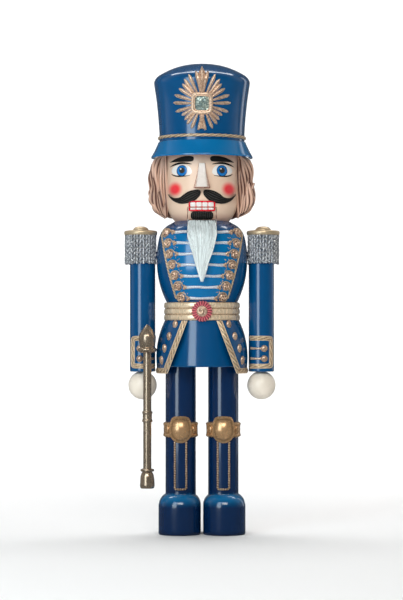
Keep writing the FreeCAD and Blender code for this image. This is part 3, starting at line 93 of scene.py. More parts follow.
# one object from several grid parts, riding on a body and standing for CAD nodes
def makePiece(name, parts, body, slotName, material, replaced=(), sharp=38):
    counts = np.cumsum([0] + [len(p["verts"]) for p in parts])
    verts = np.concatenate([p["verts"] for p in parts]) * mm
    quads = np.concatenate([p["quads"] + n for p, n in zip(parts, counts)])
    tris = np.concatenate([p["tris"] + n for p, n in zip(parts, counts)])
    mesh = bpy.data.meshes.new(name)
    mesh.vertices.add(len(verts))
    mesh.vertices.foreach_set("co", verts.ravel())
    mesh.loops.add(quads.size + tris.size)
    mesh.loops.foreach_set("vertex_index", np.concatenate([quads.ravel(), tris.ravel()]))
    starts = np.concatenate([np.arange(len(quads)) * 4, quads.size + np.arange(len(tris)) * 3])
    mesh.polygons.add(len(starts))
    mesh.polygons.foreach_set("loop_start", starts)
    uv = mesh.uv_layers.new(name="UVMap")
    uvs = np.concatenate([p["quadUv"].reshape(-1, 2) for p in parts]
                         + [p["triUv"].reshape(-1, 2) for p in parts])
    uv.uv.foreach_set("vector", uvs.ravel())
    for label, values in (("tone", np.concatenate([p["tone"] for p in parts])),
                          ("shade", np.concatenate([np.full(len(p["verts"]), p["shade"])
                                                    for p in parts]))):
        mesh.attributes.new(label, "FLOAT", "POINT").data.foreach_set("value", values)
    mesh.update(calc_edges=True)
    mesh.validate()
    mesh.polygons.foreach_set("use_smooth", np.ones(len(mesh.polygons), bool))
    mesh.set_sharp_from_angle(angle=math.radians(sharp))
    return place(bpy.data.objects.new(name, mesh), body, slotName, material, replaced)


def place(piece, body, slotName, material, replaced=()):
    if piece.name not in bpy.context.scene.collection.all_objects:
        bpy.context.scene.collection.objects.link(piece)
    piece.data.materials.clear()
    piece.data.materials.append(material)
    if body:
        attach(piece, body)
    if replaced:
        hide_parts(*replaced)
    return piece


# profile as rows of (radius, height): straight or arched runs between corners, each corner eased by
# a short parabola. A corner is (radius, height, ease, arch), and arch is how far the run to the
# next corner bulges away from the axis
def softProfile(corners, spacing=0.8):
    spots = [np.array(c[:2], float) for c in corners]
    ease = [c[2] if len(c) > 2 else 0 for c in corners]
    arch = [c[3] if len(c) > 3 else 0 for c in corners]
    runs, marks = [], [0]
    for a, b, rise in zip(spots[:-1], spots[1:], arch[:-1]):
        length = np.linalg.norm(b - a)
        t = np.linspace(0, 1, max(2, int(length / spacing) + 1))[:, None]
        outward = np.array([b[1] - a[1], a[0] - b[0]]) / length
        runs.append(a + (b - a) * t + outward * rise * 4 * t * (1 - t))
        marks.append(marks[-1] + len(t) - 1)
    path = np.vstack([run[:-1] for run in runs] + [spots[-1][None]])
    along = pathLength(path)
    kept, extra, extraAt = np.ones(len(path), bool), [], []
    for mark, spot, wide in list(zip(marks, spots, ease))[1:-1]:
        if not wide:
            continue
        low, high = along[mark] - wide, along[mark] + wide
        kept &= (along <= low) | (along >= high)
        a, c = (np.array([np.interp(s, along, path[:, k]) for k in (0, 1)]) for s in (low, high))
        t = np.linspace(0, 1, 7)[:, None]
        extra.append(a * (1 - t) ** 2 + 2 * spot * t * (1 - t) + c * t ** 2)
        extraAt.append(low + (high - low) * t[:, 0])
    rows = np.vstack([path[kept]] + extra)
    order = np.argsort(np.concatenate([along[kept]] + extraAt), kind="stable")
    return rows[order]


def pathLength(path):
    return np.concatenate([[0], np.cumsum(np.linalg.norm(np.diff(path, axis=0), axis=1))])


def evenly(path, spacing):
    # the same path with its points a set distance apart
    along = pathLength(path)
    wanted = np.linspace(0, along[-1], max(3, int(along[-1] / spacing) + 1))
    return np.stack([np.interp(wanted, along, path[:, k]) for k in range(path.shape[1])], 1)


def softened(path, rounds=3, closed=False):
    # corners cut a quarter from each end, again and again
    path = np.array(path, float)
    for _ in range(rounds):
        following = np.roll(path, -1, 0) if closed else path[1:]
        first = path if closed else path[:-1]
        cut = np.stack([first * 0.75 + following * 0.25, first * 0.25 + following * 0.75], 1)
        cut = cut.reshape(-1, path.shape[1])
        path = cut if closed else np.vstack([path[:1], cut, path[-1:]])
    return path


# profile turned round a vertical axis: x = radius * sin(angle), y = -radius * cos(angle), so that
# angle 0 faces the front; wave(angle, height) adds to the radius
def turned(profile, x=0, y=0, steps=120, wave=None, ring=False, tone=None):
    angle = np.linspace(0, 2 * math.pi, steps, endpoint=False)[None, :]
    radius, height = profile[:, :1], profile[:, 1:2] + 0 * angle
    radius = radius + (wave(angle, height) if wave else 0 * angle)
    points = np.stack([x + radius * np.sin(angle), y - radius * np.cos(angle), height], 2)
    return gridPart(points, alongClosed=ring, tone=tone)


# tube along a path: each cross-section is a circle of the given radius, flattened along the outward
# direction, with the strands of a rope as lobes that turn along it
def tube(path, radius, outward, sides=12, flat=1.0, strands=0, pitch=6.0, lobe=0.22, grow=None,
         closed=False, caps=True, shade=0.5, bead=0.0):
    path = np.asarray(path, float)
    if closed:
        ahead, behind = np.roll(path, -1, 0), np.roll(path, 1, 0)
        tangent = ahead - behind
    else:
        tangent = np.gradient(path, axis=0)
    tangent = tangent / np.linalg.norm(tangent, axis=1, keepdims=True)
    away = np.broadcast_to(outward, path.shape).astype(float)
    away = away - tangent * (away * tangent).sum(1, keepdims=True)
    away = away / np.linalg.norm(away, axis=1, keepdims=True)
    across = np.cross(tangent, away)
    along = pathLength(path)[:, None]
    turn = np.linspace(0, 2 * math.pi, sides, endpoint=False)[None, :]
    lobes = np.ones((len(path), sides))
    if strands:
        lobes = np.abs(np.cos((strands * turn - 2 * math.pi * along / pitch) / 2)) ** 0.6
        lobes = 1 - lobe + lobe * lobes
    if bead:
        lobes = lobes * (0.62 + 0.38 * np.abs(np.sin(math.pi * along / bead)) ** 0.5)
    size = (np.asarray(radius, float) * (1 if grow is None else grow)).reshape(-1, 1) * lobes
    points = (path[:, None] + across[:, None] * (size * np.cos(turn))[:, :, None]
              + away[:, None] * (size * flat * np.sin(turn))[:, :, None])
    # tone falls between the strands and beads, where the finishes paint shade
    low = 1 - lobe if strands else 0.62 if bead else 0.0
    tone = np.clip((lobes - low) / max(1 - low, 0.01), 0, 1)
    return gridPart(points, alongClosed=closed, caps=caps, tone=tone, shade=shade)


# domed button: from the middle outwards the height falls as (1 - t ** power) ** (1 / power), set on
# a point with an outward direction; wave(angle, t) shapes the top and rim(angle) its edge
def dome(centre, normal, wide, tall, rise, power=2.0, wave=None, rings=9, sides=28, rim=None,
         shade=0.5):
    normal = np.array(normal, float) / np.linalg.norm(normal)
    up = np.array([0, 0, 1.0]) if abs(normal[2]) < 0.9 else np.array([0, 1.0, 0])
    side = np.cross(up, normal)
    side /= np.linalg.norm(side)
    up = np.cross(normal, side)
    t = np.sin(np.linspace(0.04, 1, rings) * math.pi / 2)[:, None]
    turn = np.linspace(0, 2 * math.pi, sides, endpoint=False)[None, :]
    lift = (1 - t ** power).clip(0) ** (1 / power) + 0 * turn
    shift = (wave(turn, t) if wave else 0) + 0 * lift
    spread = t * (1 + (rim(turn) if rim else 0 * turn))
    top = rise * (lift + shift * (1 - t ** 6))
    lift = np.vstack([top, np.full((1, sides), -sinkDepth["dome"])])
    spread = np.vstack([spread, spread[-1:]])
    points = (np.array(centre, float) + side * (wide * spread * np.cos(turn))[:, :, None]
              + up * (tall * spread * np.sin(turn))[:, :, None] + normal * lift[:, :, None])
    # the tone falls in the dips of the wave, where the finishes paint shade
    tone = np.vstack([np.clip(0.75 + shift * 1.6, 0, 1), np.zeros((1, sides))])
    return gridPart(points, tone=tone, shade=shade)


# a point in front view (x, z) laid on a turned surface: y = -sqrt((radius(z) + lift)^2 - x^2)
def laidOn(x, z, radiusAt, lift, axis=(0, 0)):
    radius = radiusAt(z) + lift
    y = axis[1] - np.sqrt(np.maximum(radius ** 2 - x ** 2, 0.01))
    return np.stack([axis[0] + x + 0 * y, y, z + 0 * y], -1)


# raised strip laid on a turned surface: a line in front view with a half width along it, an outline
# of heights across it (c from -1 to 1), and a flat back sunk under the surface
def strip(spine, half, lift, radiusAt, axis=(0, 0), crown=0.5, across=9, groove=None,
          sink=sinkDepth["strip"], endDrop=True, shade=0.5):
    spine = np.asarray(spine, float)
    tangent = np.gradient(spine, axis=0)
    tangent /= np.linalg.norm(tangent, axis=1, keepdims=True)
    normal = np.stack([-tangent[:, 1], tangent[:, 0]], 1)
    half = np.broadcast_to(half, (len(spine),))
    c = np.linspace(-1, 1, across)
    place = spine[:, None] + normal[:, None] * (half[:, None] * c[None])[:, :, None]
    height = np.broadcast_to(lift, (len(spine),))[:, None] * (1 - crown * np.abs(c[None]) ** 2.4)
    tone = np.ones_like(height)
    if groove:
        s = np.linspace(0, 1, len(spine))[:, None]
        # the groove lowers the tone, so the finishes paint shade into it
        cut = groove(c[None], s)
        height, tone = height - cut * np.broadcast_to(lift, (len(spine),))[:, None], 1 - 2.2 * cut
    if endDrop:
        height[0] *= 0.4
        height[-1] *= 0.4
    top = laidOn(place[:, :, 0], place[:, :, 1], radiusAt, height, axis)
    back = laidOn(place[:, ::-1, 0], place[:, ::-1, 1], radiusAt, -sink, axis)
    points = np.concatenate([top, back], 1)
    tone = np.concatenate([tone.clip(0, 1), np.zeros_like(tone)], 1)
    return gridPart(points, tone=tone, shade=shade)


# raised patch with an outline in front view, laid on a turned surface: rings shrink from the rim to
# a middle point, and the height rises from the rim inwards as 1 - t ** power; shift adds to it
def patch(outline, lift, radiusAt, power=6.0, rings=7, edge=0.35, shift=0.0):
    rim = np.asarray(outline, float)
    middle = rim.mean(0)
    t = np.sin(np.linspace(0.05, 1, rings) * math.pi / 2)[:, None]
    place = middle + (rim - middle)[None] * t[:, :, None]
    height = lift * (edge + (1 - edge) * (1 - t ** power)) + 0 * place[:, :, 0]
    top = laidOn(place[:, :, 0], place[:, :, 1], radiusAt, height + shift)
    back = laidOn(rim[:, 0], rim[:, 1], radiusAt, -sinkDepth["strip"])[None]
    # shift also sets the tone, so lower spots are painted darker as shade
    tone = np.vstack([np.clip(0.8 + shift, 0, 1) + 0 * height, np.zeros((1, len(rim)))])
    return gridPart(np.concatenate([top, back]), tone=tone)


def circleOutline(x, z, radius, tall=None, steps=28, square=2.0):
    turn = np.linspace(0, 2 * math.pi, steps, endpoint=False)
    c, s = np.cos(turn), np.sin(turn)
    size = (np.abs(c) ** square + np.abs(s) ** square) ** (-1 / square)
    return np.stack([x + radius * size * c, z + (tall or radius) * size * s], 1)


def radiusFrom(profile, low, high):
    part = profile[(profile[:, 1] >= low) & (profile[:, 1] <= high)]
    part = part[np.argsort(part[:, 1], kind="stable")]
    return lambda z: np.interp(z, part[:, 1], part[:, 0])


# solid from an outline in side view (y, z), as wide as 2 * half
def board(name, outline, half):
    outline = np.asarray(outline, float)
    points = np.stack([np.stack([np.full(len(outline), x), outline[:, 0], outline[:, 1]], 1)
                       for x in (-half, half)])
    part = gridPart(points, caps=False)
    mesh = bpy.data.meshes.new(name)
    count = len(outline)
    ends = [list(range(count)), list(range(2 * count - 1, count - 1, -1))]
    mesh.from_pydata((part["verts"] * mm).tolist(), [], part["quads"].tolist() + ends)
    mesh.update()
    return bpy.data.objects.new(name, mesh)


# close points merged, slivers dissolved, and every face turned outwards
def recalculated(mesh):
    work = bmesh.new()
    work.from_mesh(mesh)
    bmesh.ops.remove_doubles(work, verts=work.verts, dist=2e-6)
    bmesh.ops.dissolve_degenerate(work, edges=work.edges, dist=2e-6)
    bmesh.ops.recalc_face_normals(work, faces=work.faces)
    work.to_mesh(mesh)
    work.free()


# a piece's own mesh after another solid is taken out of it
def cutBy(piece, cutter, solver="EXACT"):
    recalculated(piece.data)
    difference = piece.modifiers.new("slot", "BOOLEAN")
    difference.operation = "DIFFERENCE"
    difference.solver = solver
    difference.object = cutter
    bpy.context.view_layer.update()
    shaped = piece.evaluated_get(bpy.context.evaluated_depsgraph_get())
    fresh = bpy.data.meshes.new_from_object(shaped)
    piece.modifiers.clear()
    piece.data = fresh
    fresh.set_sharp_from_angle(angle=math.radians(32))


# materials

def addNode(tree, kind, inputs=None, **settings):
    made = tree.nodes.new("ShaderNode" + kind)
    for key, value in settings.items():
        setattr(made, key, value)
    for key, value in (inputs or {}).items():
        if isinstance(value, bpy.types.NodeSocket):
            tree.links.new(value, made.inputs[key])
        else:
            made.inputs[key].default_value = value
    return made


def blendColour(tree, factor, first, second, mode="MIX"):
    made = tree.nodes.new("ShaderNodeMix")
    made.data_type = "RGBA"
    made.blend_type = mode
    for socket, value in ((made.inputs[0], factor), (made.inputs[6], first),
                          (made.inputs[7], second)):
        if isinstance(value, bpy.types.NodeSocket):
            tree.links.new(value, socket)
        else:
            socket.default_value = value
    return made.outputs[2]


def mathNode(tree, operation, *values):
    made = tree.nodes.new("ShaderNodeMath")
    made.operation = operation
    for socket, value in zip(made.inputs, values):
        if isinstance(value, bpy.types.NodeSocket):
            tree.links.new(value, socket)
        else:
            socket.default_value = value
    return made.outputs[0]


# broad and fine cloudiness, painted shade in grooves and hollows where the surface's tone is low,
# and brush or grain streaks
def makeMottleAndHollowShade():
    tree = bpy.data.node_groups.new("mottleAndHollowShade", "ShaderNodeTree")
    for label, kind, value in (("Scale", "NodeSocketFloat", 60.0), ("Stretch", "NodeSocketVector",
                                                                    None),
                               ("Hollow", "NodeSocketFloat", 0.8), ("Cloud", "NodeSocketFloat",
                                                                    0.4)):
        socket = tree.interface.new_socket(name=label, in_out="INPUT", socket_type=kind)
        if value is not None:
            socket.default_value = value
    for label in ("Amount", "Broad", "Fine", "Height"):
        tree.interface.new_socket(name=label, in_out="OUTPUT", socket_type="NodeSocketFloat")
    entry, leave = tree.nodes.new("NodeGroupInput"), tree.nodes.new("NodeGroupOutput")
    where = addNode(tree, "TexCoord").outputs["Object"]
    spot = addNode(tree, "VectorMath", {0: where, 1: entry.outputs["Stretch"]},
                   operation="MULTIPLY")
    broad = addNode(tree, "TexNoise", {"Vector": spot.outputs[0], "Scale": entry.outputs["Scale"],
                                       "Detail": 3.0, "Roughness": 0.55})
    finer = mathNode(tree, "MULTIPLY", entry.outputs["Scale"], 9.0)
    fine = addNode(tree, "TexNoise", {"Vector": spot.outputs[0], "Scale": finer, "Detail": 4.0,
                                      "Roughness": 0.6})
    tone = addNode(tree, "Attribute", attribute_name="tone").outputs["Fac"]
    # painted shade: the lower the tone, the more of the dark colour
    sunk = mathNode(tree, "MULTIPLY", mathNode(tree, "SUBTRACT", 1.0, tone),
                    entry.outputs["Hollow"])
    cloud = mathNode(tree, "MULTIPLY", mathNode(tree, "SUBTRACT", broad.outputs[0], 0.5),
                     entry.outputs["Cloud"])
    amount = mathNode(tree, "SUBTRACT", mathNode(tree, "ADD", 0.85, cloud), sunk)
    clamped = addNode(tree, "Clamp", {0: amount})
    height = mathNode(tree, "ADD", mathNode(tree, "MULTIPLY", broad.outputs[0], 0.5),
                      mathNode(tree, "MULTIPLY", fine.outputs[0], 0.5))
    for socket, label in ((clamped.outputs[0], "Amount"), (broad.outputs[0], "Broad"),
                          (fine.outputs[0], "Fine"), (height, "Height")):
        tree.links.new(socket, leave.inputs[label])
    return tree


# glitter: small cells, each with its own brightness and tilt; the finishes paint the brightest into
# the colour as glints
def makeGlitter():
    tree = bpy.data.node_groups.new("glitter", "ShaderNodeTree")
    size = tree.interface.new_socket(name="Size", in_out="INPUT", socket_type="NodeSocketFloat")
    size.default_value = 1500.0
    tree.interface.new_socket(name="Spark", in_out="OUTPUT", socket_type="NodeSocketFloat")
    tree.interface.new_socket(name="Tilt", in_out="OUTPUT", socket_type="NodeSocketFloat")
    entry, leave = tree.nodes.new("NodeGroupInput"), tree.nodes.new("NodeGroupOutput")
    where = addNode(tree, "TexCoord").outputs["Object"]
    cells = addNode(tree, "TexVoronoi", {"Vector": where, "Scale": entry.outputs["Size"]})
    value = addNode(tree, "SeparateColor", {0: cells.outputs["Color"]})
    tree.links.new(value.outputs[0], leave.inputs["Spark"])
    tree.links.new(value.outputs[1], leave.inputs["Tilt"])
    return tree


mottleAndHollowShade = makeMottleAndHollowShade()
glitter = makeGlitter()
shared = {"coatRough": 0.06, "bumpDepth": 0.0004, "sparkPower": 3.0, "sparkRelief": 1.5}


# a finish between a light and a dark colour: the mottle and hollow shade mixes them, painting the
# dark colour into hollows as shade, and sets the roughness and bump; glitter paints sparks into the
# colour, and shadeAmount is how far the parts of one piece differ in brightness
def finish(name, light, dark, rough=(0.2, 0.3), metal=0.0, coat=0.0, scale=60.0, stretch=(1, 1, 1),
           hollow=0.8, cloud=0.4, bump=0.08, spark=0.0, sparkSize=1500.0, sparkColour=(1, 1, 1),
           shadeAmount=0.0, specular=0.5, sheen=0.0):
    material = bpy.data.materials.new(name)
    material.use_nodes = True
    tree = material.node_tree
    shader = tree.nodes["Principled BSDF"]
    mottleShade = addNode(tree, "Group", node_tree=mottleAndHollowShade)
    for key, value in (("Scale", scale), ("Stretch", stretch), ("Hollow", hollow),
                       ("Cloud", cloud)):
        mottleShade.inputs[key].default_value = value
    colour = blendColour(tree, mottleShade.outputs["Amount"], (*dark, 1), (*light, 1))
    if shadeAmount:
        shade = addNode(tree, "Attribute", attribute_name="shade").outputs["Fac"]
        swing = mathNode(tree, "MULTIPLY", shade, 2 * shadeAmount)
        level = mathNode(tree, "ADD", 1 - shadeAmount, swing)
        tint = addNode(tree, "CombineColor", {0: level, 1: level, 2: level})
        colour = blendColour(tree, 1.0, colour, tint.outputs[0], "MULTIPLY")
    height = mottleShade.outputs["Height"]
    if spark:
        sparkle = addNode(tree, "Group", node_tree=glitter)
        sparkle.inputs["Size"].default_value = sparkSize
        few = mathNode(tree, "POWER", sparkle.outputs["Spark"], shared["sparkPower"])
        # painted glints: the brightest cells take the spark colour
        lit = mathNode(tree, "MULTIPLY", few, spark)
        colour = blendColour(tree, lit, colour, (*sparkColour, 1))
        raised = mathNode(tree, "MULTIPLY", sparkle.outputs["Tilt"], shared["sparkRelief"])
        height = mathNode(tree, "ADD", height, raised)
    tree.links.new(colour, shader.inputs["Base Color"])
    spread = addNode(tree, "MapRange", {0: mottleShade.outputs["Fine"], 1: 0.3, 2: 0.7, 3: rough[0],
                                        4: rough[1]})
    tree.links.new(spread.outputs[0], shader.inputs["Roughness"])
    relief = addNode(tree, "Bump", {"Strength": bump, "Distance": shared["bumpDepth"],
                                    "Height": height})
    tree.links.new(relief.outputs[0], shader.inputs["Normal"])
    shader.inputs["Metallic"].default_value = metal
    shader.inputs["Coat Weight"].default_value = coat
    shader.inputs["Coat Roughness"].default_value = shared["coatRough"]
    shader.inputs["Specular IOR Level"].default_value = specular
    shader.inputs["Sheen Weight"].default_value = sheen
    return material


lacquerBlue = finish("lacquerBlue", (0.0001, 0.078, 0.225), (0.0001, 0.038, 0.125), (0.15, 0.22),
                     coat=0.6, scale=22, stretch=(1, 1, 0.25), cloud=0.5, bump=0.03)
lacquerBright = finish("lacquerBright", (0.0004, 0.17, 0.42), (0.0004, 0.085, 0.27), (0.15, 0.22),
                       coat=0.6, scale=26, stretch=(1, 1, 0.4), cloud=0.5, bump=0.03)
lacquerNavy = finish("lacquerNavy", (0.0008, 0.022, 0.085), (0.0008, 0.01, 0.045), (0.15, 0.22),
                     coat=0.6, scale=24, stretch=(1, 1, 0.25), cloud=0.5, bump=0.03)
goldRope = finish("goldRope", (1.0, 0.78, 0.52), (0.2, 0.075, 0.03), (0.28, 0.42), metal=0.35,
                  scale=120, hollow=1.2, cloud=0.5, bump=0.5, spark=0.35, sparkSize=1900,
                  sparkColour=(1, 0.86, 0.62))
goldCast = finish("goldCast", (1.0, 0.73, 0.53), (0.16, 0.055, 0.03), (0.2, 0.34), metal=0.5,
                  coat=0.3, scale=90, hollow=1.1, cloud=0.7, bump=0.2)
goldPearl = finish("goldPearl", (0.74, 0.44, 0.22), (0.16, 0.09, 0.04), (0.22, 0.3), metal=0.55,
                   coat=0.3, scale=40, cloud=0.5, bump=0.015)
staffBrass = finish("staffBrass", (0.56, 0.43, 0.31), (0.1, 0.065, 0.04), (0.2, 0.3), metal=0.8,
                    coat=0.2, scale=45, stretch=(1, 1, 0.3), cloud=0.5, bump=0.015)
brass = finish("antiqueBrass", (1.0, 0.79, 0.55), (0.4, 0.25, 0.14), (0.22, 0.32), metal=0.35,
               coat=0.2, scale=45, stretch=(1, 1, 0.3), cloud=0.6, bump=0.02)
epauletteGold = finish("epauletteGold", (0.74, 0.58, 0.38), (0.3, 0.17, 0.08), (0.28, 0.4),
                       metal=0.55, scale=60, cloud=0.7, bump=0.1)
redPleats = finish("redPleats", (0.95, 0.2, 0.24), (0.2, 0.005, 0.02), (0.42, 0.6), scale=160,
                   hollow=1.0, bump=0.5, sheen=0.4)
silverBars = finish("silverBars", (0.86, 0.88, 0.93), (0.3, 0.34, 0.42), (0.22, 0.36), metal=0.35,
                    scale=130, bump=0.25, coat=0.2)
silverCord = finish("silverCord", (0.46, 0.49, 0.54), (0.035, 0.04, 0.055), (0.24, 0.46), metal=0.5,
                    scale=260, hollow=1.1, cloud=0.7, bump=0.9, spark=1.0, sparkSize=1300,
                    shadeAmount=0.25)
stone = finish("stone", (0.2, 0.28, 0.27), (0.008, 0.025, 0.03), (0.05, 0.2), metal=0.4, scale=300,
               hollow=0.5, cloud=2.2, bump=0.6, spark=0.75, sparkSize=1000,
               sparkColour=(0.9, 1, 0.85), shadeAmount=0.5)
hairBrown = finish("hairBrown", (0.9, 0.58, 0.43), (0.1, 0.032, 0.02), (0.3, 0.45), scale=90,
                   stretch=(1, 1, 0.22), hollow=1.5, cloud=0.6, bump=0.5, shadeAmount=0.14,
                   coat=0.15)
hairBlack = finish("hairBlack", (0.001, 0.001, 0.001), (0.1, 0.095, 0.09), (0.45, 0.6), scale=120,
                   stretch=(1, 1, 0.3), hollow=1.3, cloud=0.05, bump=0.1, specular=0.12)
beardHair = finish("beardHair", (0.82, 0.88, 0.88), (0.14, 0.18, 0.19), (0.45, 0.62), scale=160,
                   stretch=(1, 1, 0.12), hollow=0.9, cloud=0.8, bump=0.3, shadeAmount=0.32,
                   sheen=0.2)
lipRed = finish("lipRed", (0.84, 0.012, 0.03), (0.5, 0.003, 0.012), (0.16, 0.26), coat=0.5,
                scale=80, bump=0.05)
toothWhite = finish("toothWhite", (0.97, 0.965, 0.95), (0.72, 0.66, 0.6), (0.12, 0.2), coat=0.5,
                    scale=90, cloud=0.3, bump=0.04)
ivory = finish("ivory", (0.95, 0.86, 0.74), (0.7, 0.58, 0.45), (0.24, 0.36), coat=0.25, scale=26,
               cloud=0.7, bump=0.06)
irisBlue = finish("irisBlue", (0.015, 0.24, 0.66), (0.003, 0.05, 0.25), (0.12, 0.2), coat=0.5,
                  scale=300, cloud=1.2, bump=0.05)
woodBlue = finish("jawWood", (0.004, 0.09, 0.3), (0.02, 0.03, 0.08), (0.2, 0.34), coat=0.4,
                  scale=70, stretch=(1, 1, 0.08), cloud=1.0, bump=0.2)
pinSteel = finish("pinSteel", (0.6, 0.6, 0.62), (0.3, 0.3, 0.31), (0.24, 0.4), metal=1.0, scale=200,
                  stretch=(0.1, 1, 1), bump=0.1)


# height as a share, from 0 where it is low to 1 where it is high, times the amount
def heightShare(tree, where, low, high, amount, **settings):
    height = addNode(tree, "SeparateXYZ", {0: where}).outputs[2]
    share = addNode(tree, "MapRange", {0: height, 1: low, 2: high, 3: 0.0, 4: amount}, **settings)
    return share.outputs[0]


# navy lacquer with a painted reflection: brighter blue painted over the boots' rounded tops, where
# the gloss mirrors light from above
def paintBootsWithReflection():
    reflectionBand = {"foot": 0.0215, "top": 0.0315, "colour": (0.003, 0.15, 0.36, 1)}
    material = finish("bootReflectionPaint", (0.0006, 0.02, 0.08), (0.0006, 0.009, 0.04), (0.15, 0.22),
                      coat=0.6, scale=24, stretch=(1, 1, 0.25), cloud=0.5, bump=0.03)
    tree = material.node_tree
    shader = tree.nodes["Principled BSDF"]
    where = addNode(tree, "TexCoord").outputs["Object"]
    share = heightShare(tree, where, reflectionBand["foot"], reflectionBand["top"], 1.0,
                        interpolation_type="SMOOTHSTEP")
    colour = shader.inputs["Base Color"].links[0].from_socket
    colour = blendColour(tree, share, colour, reflectionBand["colour"])
    tree.links.new(colour, shader.inputs["Base Color"])
    return material


# satin skin paint with rouged cheeks, a painted shadow of the visor on the forehead, and a chin
# that turns darker and warmer towards its foot
def paintSkin():
    cheek = {"x": 0.0217, "z": 0.2775, "outer": 0.0074, "inner": 0.0022,
             "colour": (0.9, 0.035, 0.05, 1)}
    foreheadShadow = {"foot": 0.2985, "top": 0.306, "amount": 0.75, "colour": (0.36, 0.15, 0.11, 1)}
    chin = {"top": 0.2585, "foot": 0.2525, "amount": 0.6, "colour": (0.62, 0.3, 0.2, 1)}
    material = finish("skinPaint", (0.88, 0.67, 0.51), (0.72, 0.38, 0.25), (0.3, 0.42), coat=0.15,
                      scale=24, cloud=0.3, bump=0.04, hollow=0.9)
    tree = material.node_tree
    shader = tree.nodes["Principled BSDF"]
    colour = shader.inputs["Base Color"].links[0].from_socket
    where = addNode(tree, "TexCoord").outputs["Object"]
    facing = addNode(tree, "VectorMath", {0: where, 1: (1, 0, 1)}, operation="MULTIPLY").outputs[0]
    for side in (-1, 1):
        spot = addNode(tree, "VectorMath", {0: facing, 1: (side * cheek["x"], 0, cheek["z"])},
                       operation="DISTANCE")
        blush = addNode(tree, "MapRange", {0: spot.outputs["Value"], 1: cheek["outer"],
                                           2: cheek["inner"], 3: 0.0, 4: 1.0},
                        interpolation_type="SMOOTHSTEP")
        colour = blendColour(tree, blush.outputs[0], colour, cheek["colour"])
    shadow = heightShare(tree, where, foreheadShadow["foot"], foreheadShadow["top"], foreheadShadow["amount"],
                         interpolation_type="SMOOTHSTEP")
    colour = blendColour(tree, shadow, colour, foreheadShadow["colour"])
    warmth = heightShare(tree, where, chin["top"], chin["foot"], chin["amount"])
    colour = blendColour(tree, warmth, colour, chin["colour"])
    tree.links.new(colour, shader.inputs["Base Color"])
    return material


bootReflectionPaint = paintBootsWithReflection()
skinPaint = paintSkin()
# the nose's skin: its light colour is a painted highlight on the front face, its dark colour
# painted shade on the sides and under the tip
noseShadedPaint = finish("noseShadedPaint", (1.0, 0.95, 0.88), (0.42, 0.12, 0.07), (0.22, 0.32), coat=0.4,
                   scale=30, hollow=1.1, cloud=0.15, bump=0.03)
print("materials ready:", len(bpy.data.materials))


# legs and boots

boots = {"offset": 17.95, "half": 17.0, "front": -17.0, "back": 3.0, "height": 32.8, "round": 10.2,
         "edge": 1.0}
legs = {"offset": 17.3, "radius": 12.3, "foot": 21.5, "top": 145.0}
knees = {"middle": 83.8, "half": 9.4, "tall": 21.3, "depth": 5.2, "strapTall": 12.6, "strap": 2.2,
         "lugX": 10.6, "lugY": -8.9}
bootBraids = {"gap": 4.6, "radius": 0.95, "foot": 35.7, "top": 74.5, "bead": 1.9}


# plan of a boot is a stadium: unit directions round it, and the centre that each one starts from
def bootPlan():
    front, back, steps = boots["front"], boots["back"], 37
    toe, heel = (np.radians(np.linspace(low, low + 180, steps)) for low in (-90, 90))
    run = front + (back - front) * np.linspace(0, 1, 10)[1:-1]
    still = np.ones(len(run))
    turn = np.concatenate([toe, toe[-1] * still, heel, heel[-1] * still])
    centre = np.concatenate([np.full(steps, front), run, np.full(steps, back), run[::-1]])
    return np.sin(turn), -np.cos(turn), centre


def makeBoot(sign):
    across, along, centre = bootPlan()
    b = boots
    wall = np.linspace(b["edge"], b["height"] - b["round"], 9)[1:]
    turn = np.radians(np.linspace(0, 90, 15))[1:]
    inset = np.concatenate([[b["edge"]], [0.3, 0.0], 0 * wall, b["round"] * (1 - np.cos(turn)),
                            [12.5, 15.0]])
    height = np.concatenate([[0.0], [0.25, b["edge"]], wall,
                             b["height"] - b["round"] * (1 - np.sin(turn)),
                             [b["height"], b["height"]]])
    size = (b["half"] - inset)[:, None]
    points = np.stack([sign * b["offset"] + size * across, centre + size * along,
                       height[:, None] + 0 * across], 2)
    # the tone paints the lowest 3 mm darker towards the floor, as shade
    return gridPart(points, tone=np.clip(height / 3, 0.3, 1)[:, None])


def legRadius(z):
    return legs["radius"] + 0 * z


# the strap's section is rounded, with a ridge near each edge
def makeStrap(sign):
    k = knees
    t = np.linspace(-1, 1, 15)
    ridge = np.exp(-((np.abs(t) - 0.74) / 0.16) ** 2)
    swell = k["strap"] * (0.45 + 0.25 * np.sqrt(1 - t ** 2) + 0.3 * ridge)
    swell[[0, -1]] = 0.1
    loop = np.stack([legs["radius"] + swell, k["middle"] + t * k["strapTall"] / 2], 1)
    inner = np.array([[legs["radius"] - 0.5, loop[-1, 1]], [legs["radius"] - 0.5, loop[0, 1]]])
    return turned(np.vstack([loop, inner]), x=sign * legs["offset"], steps=72, ring=True)


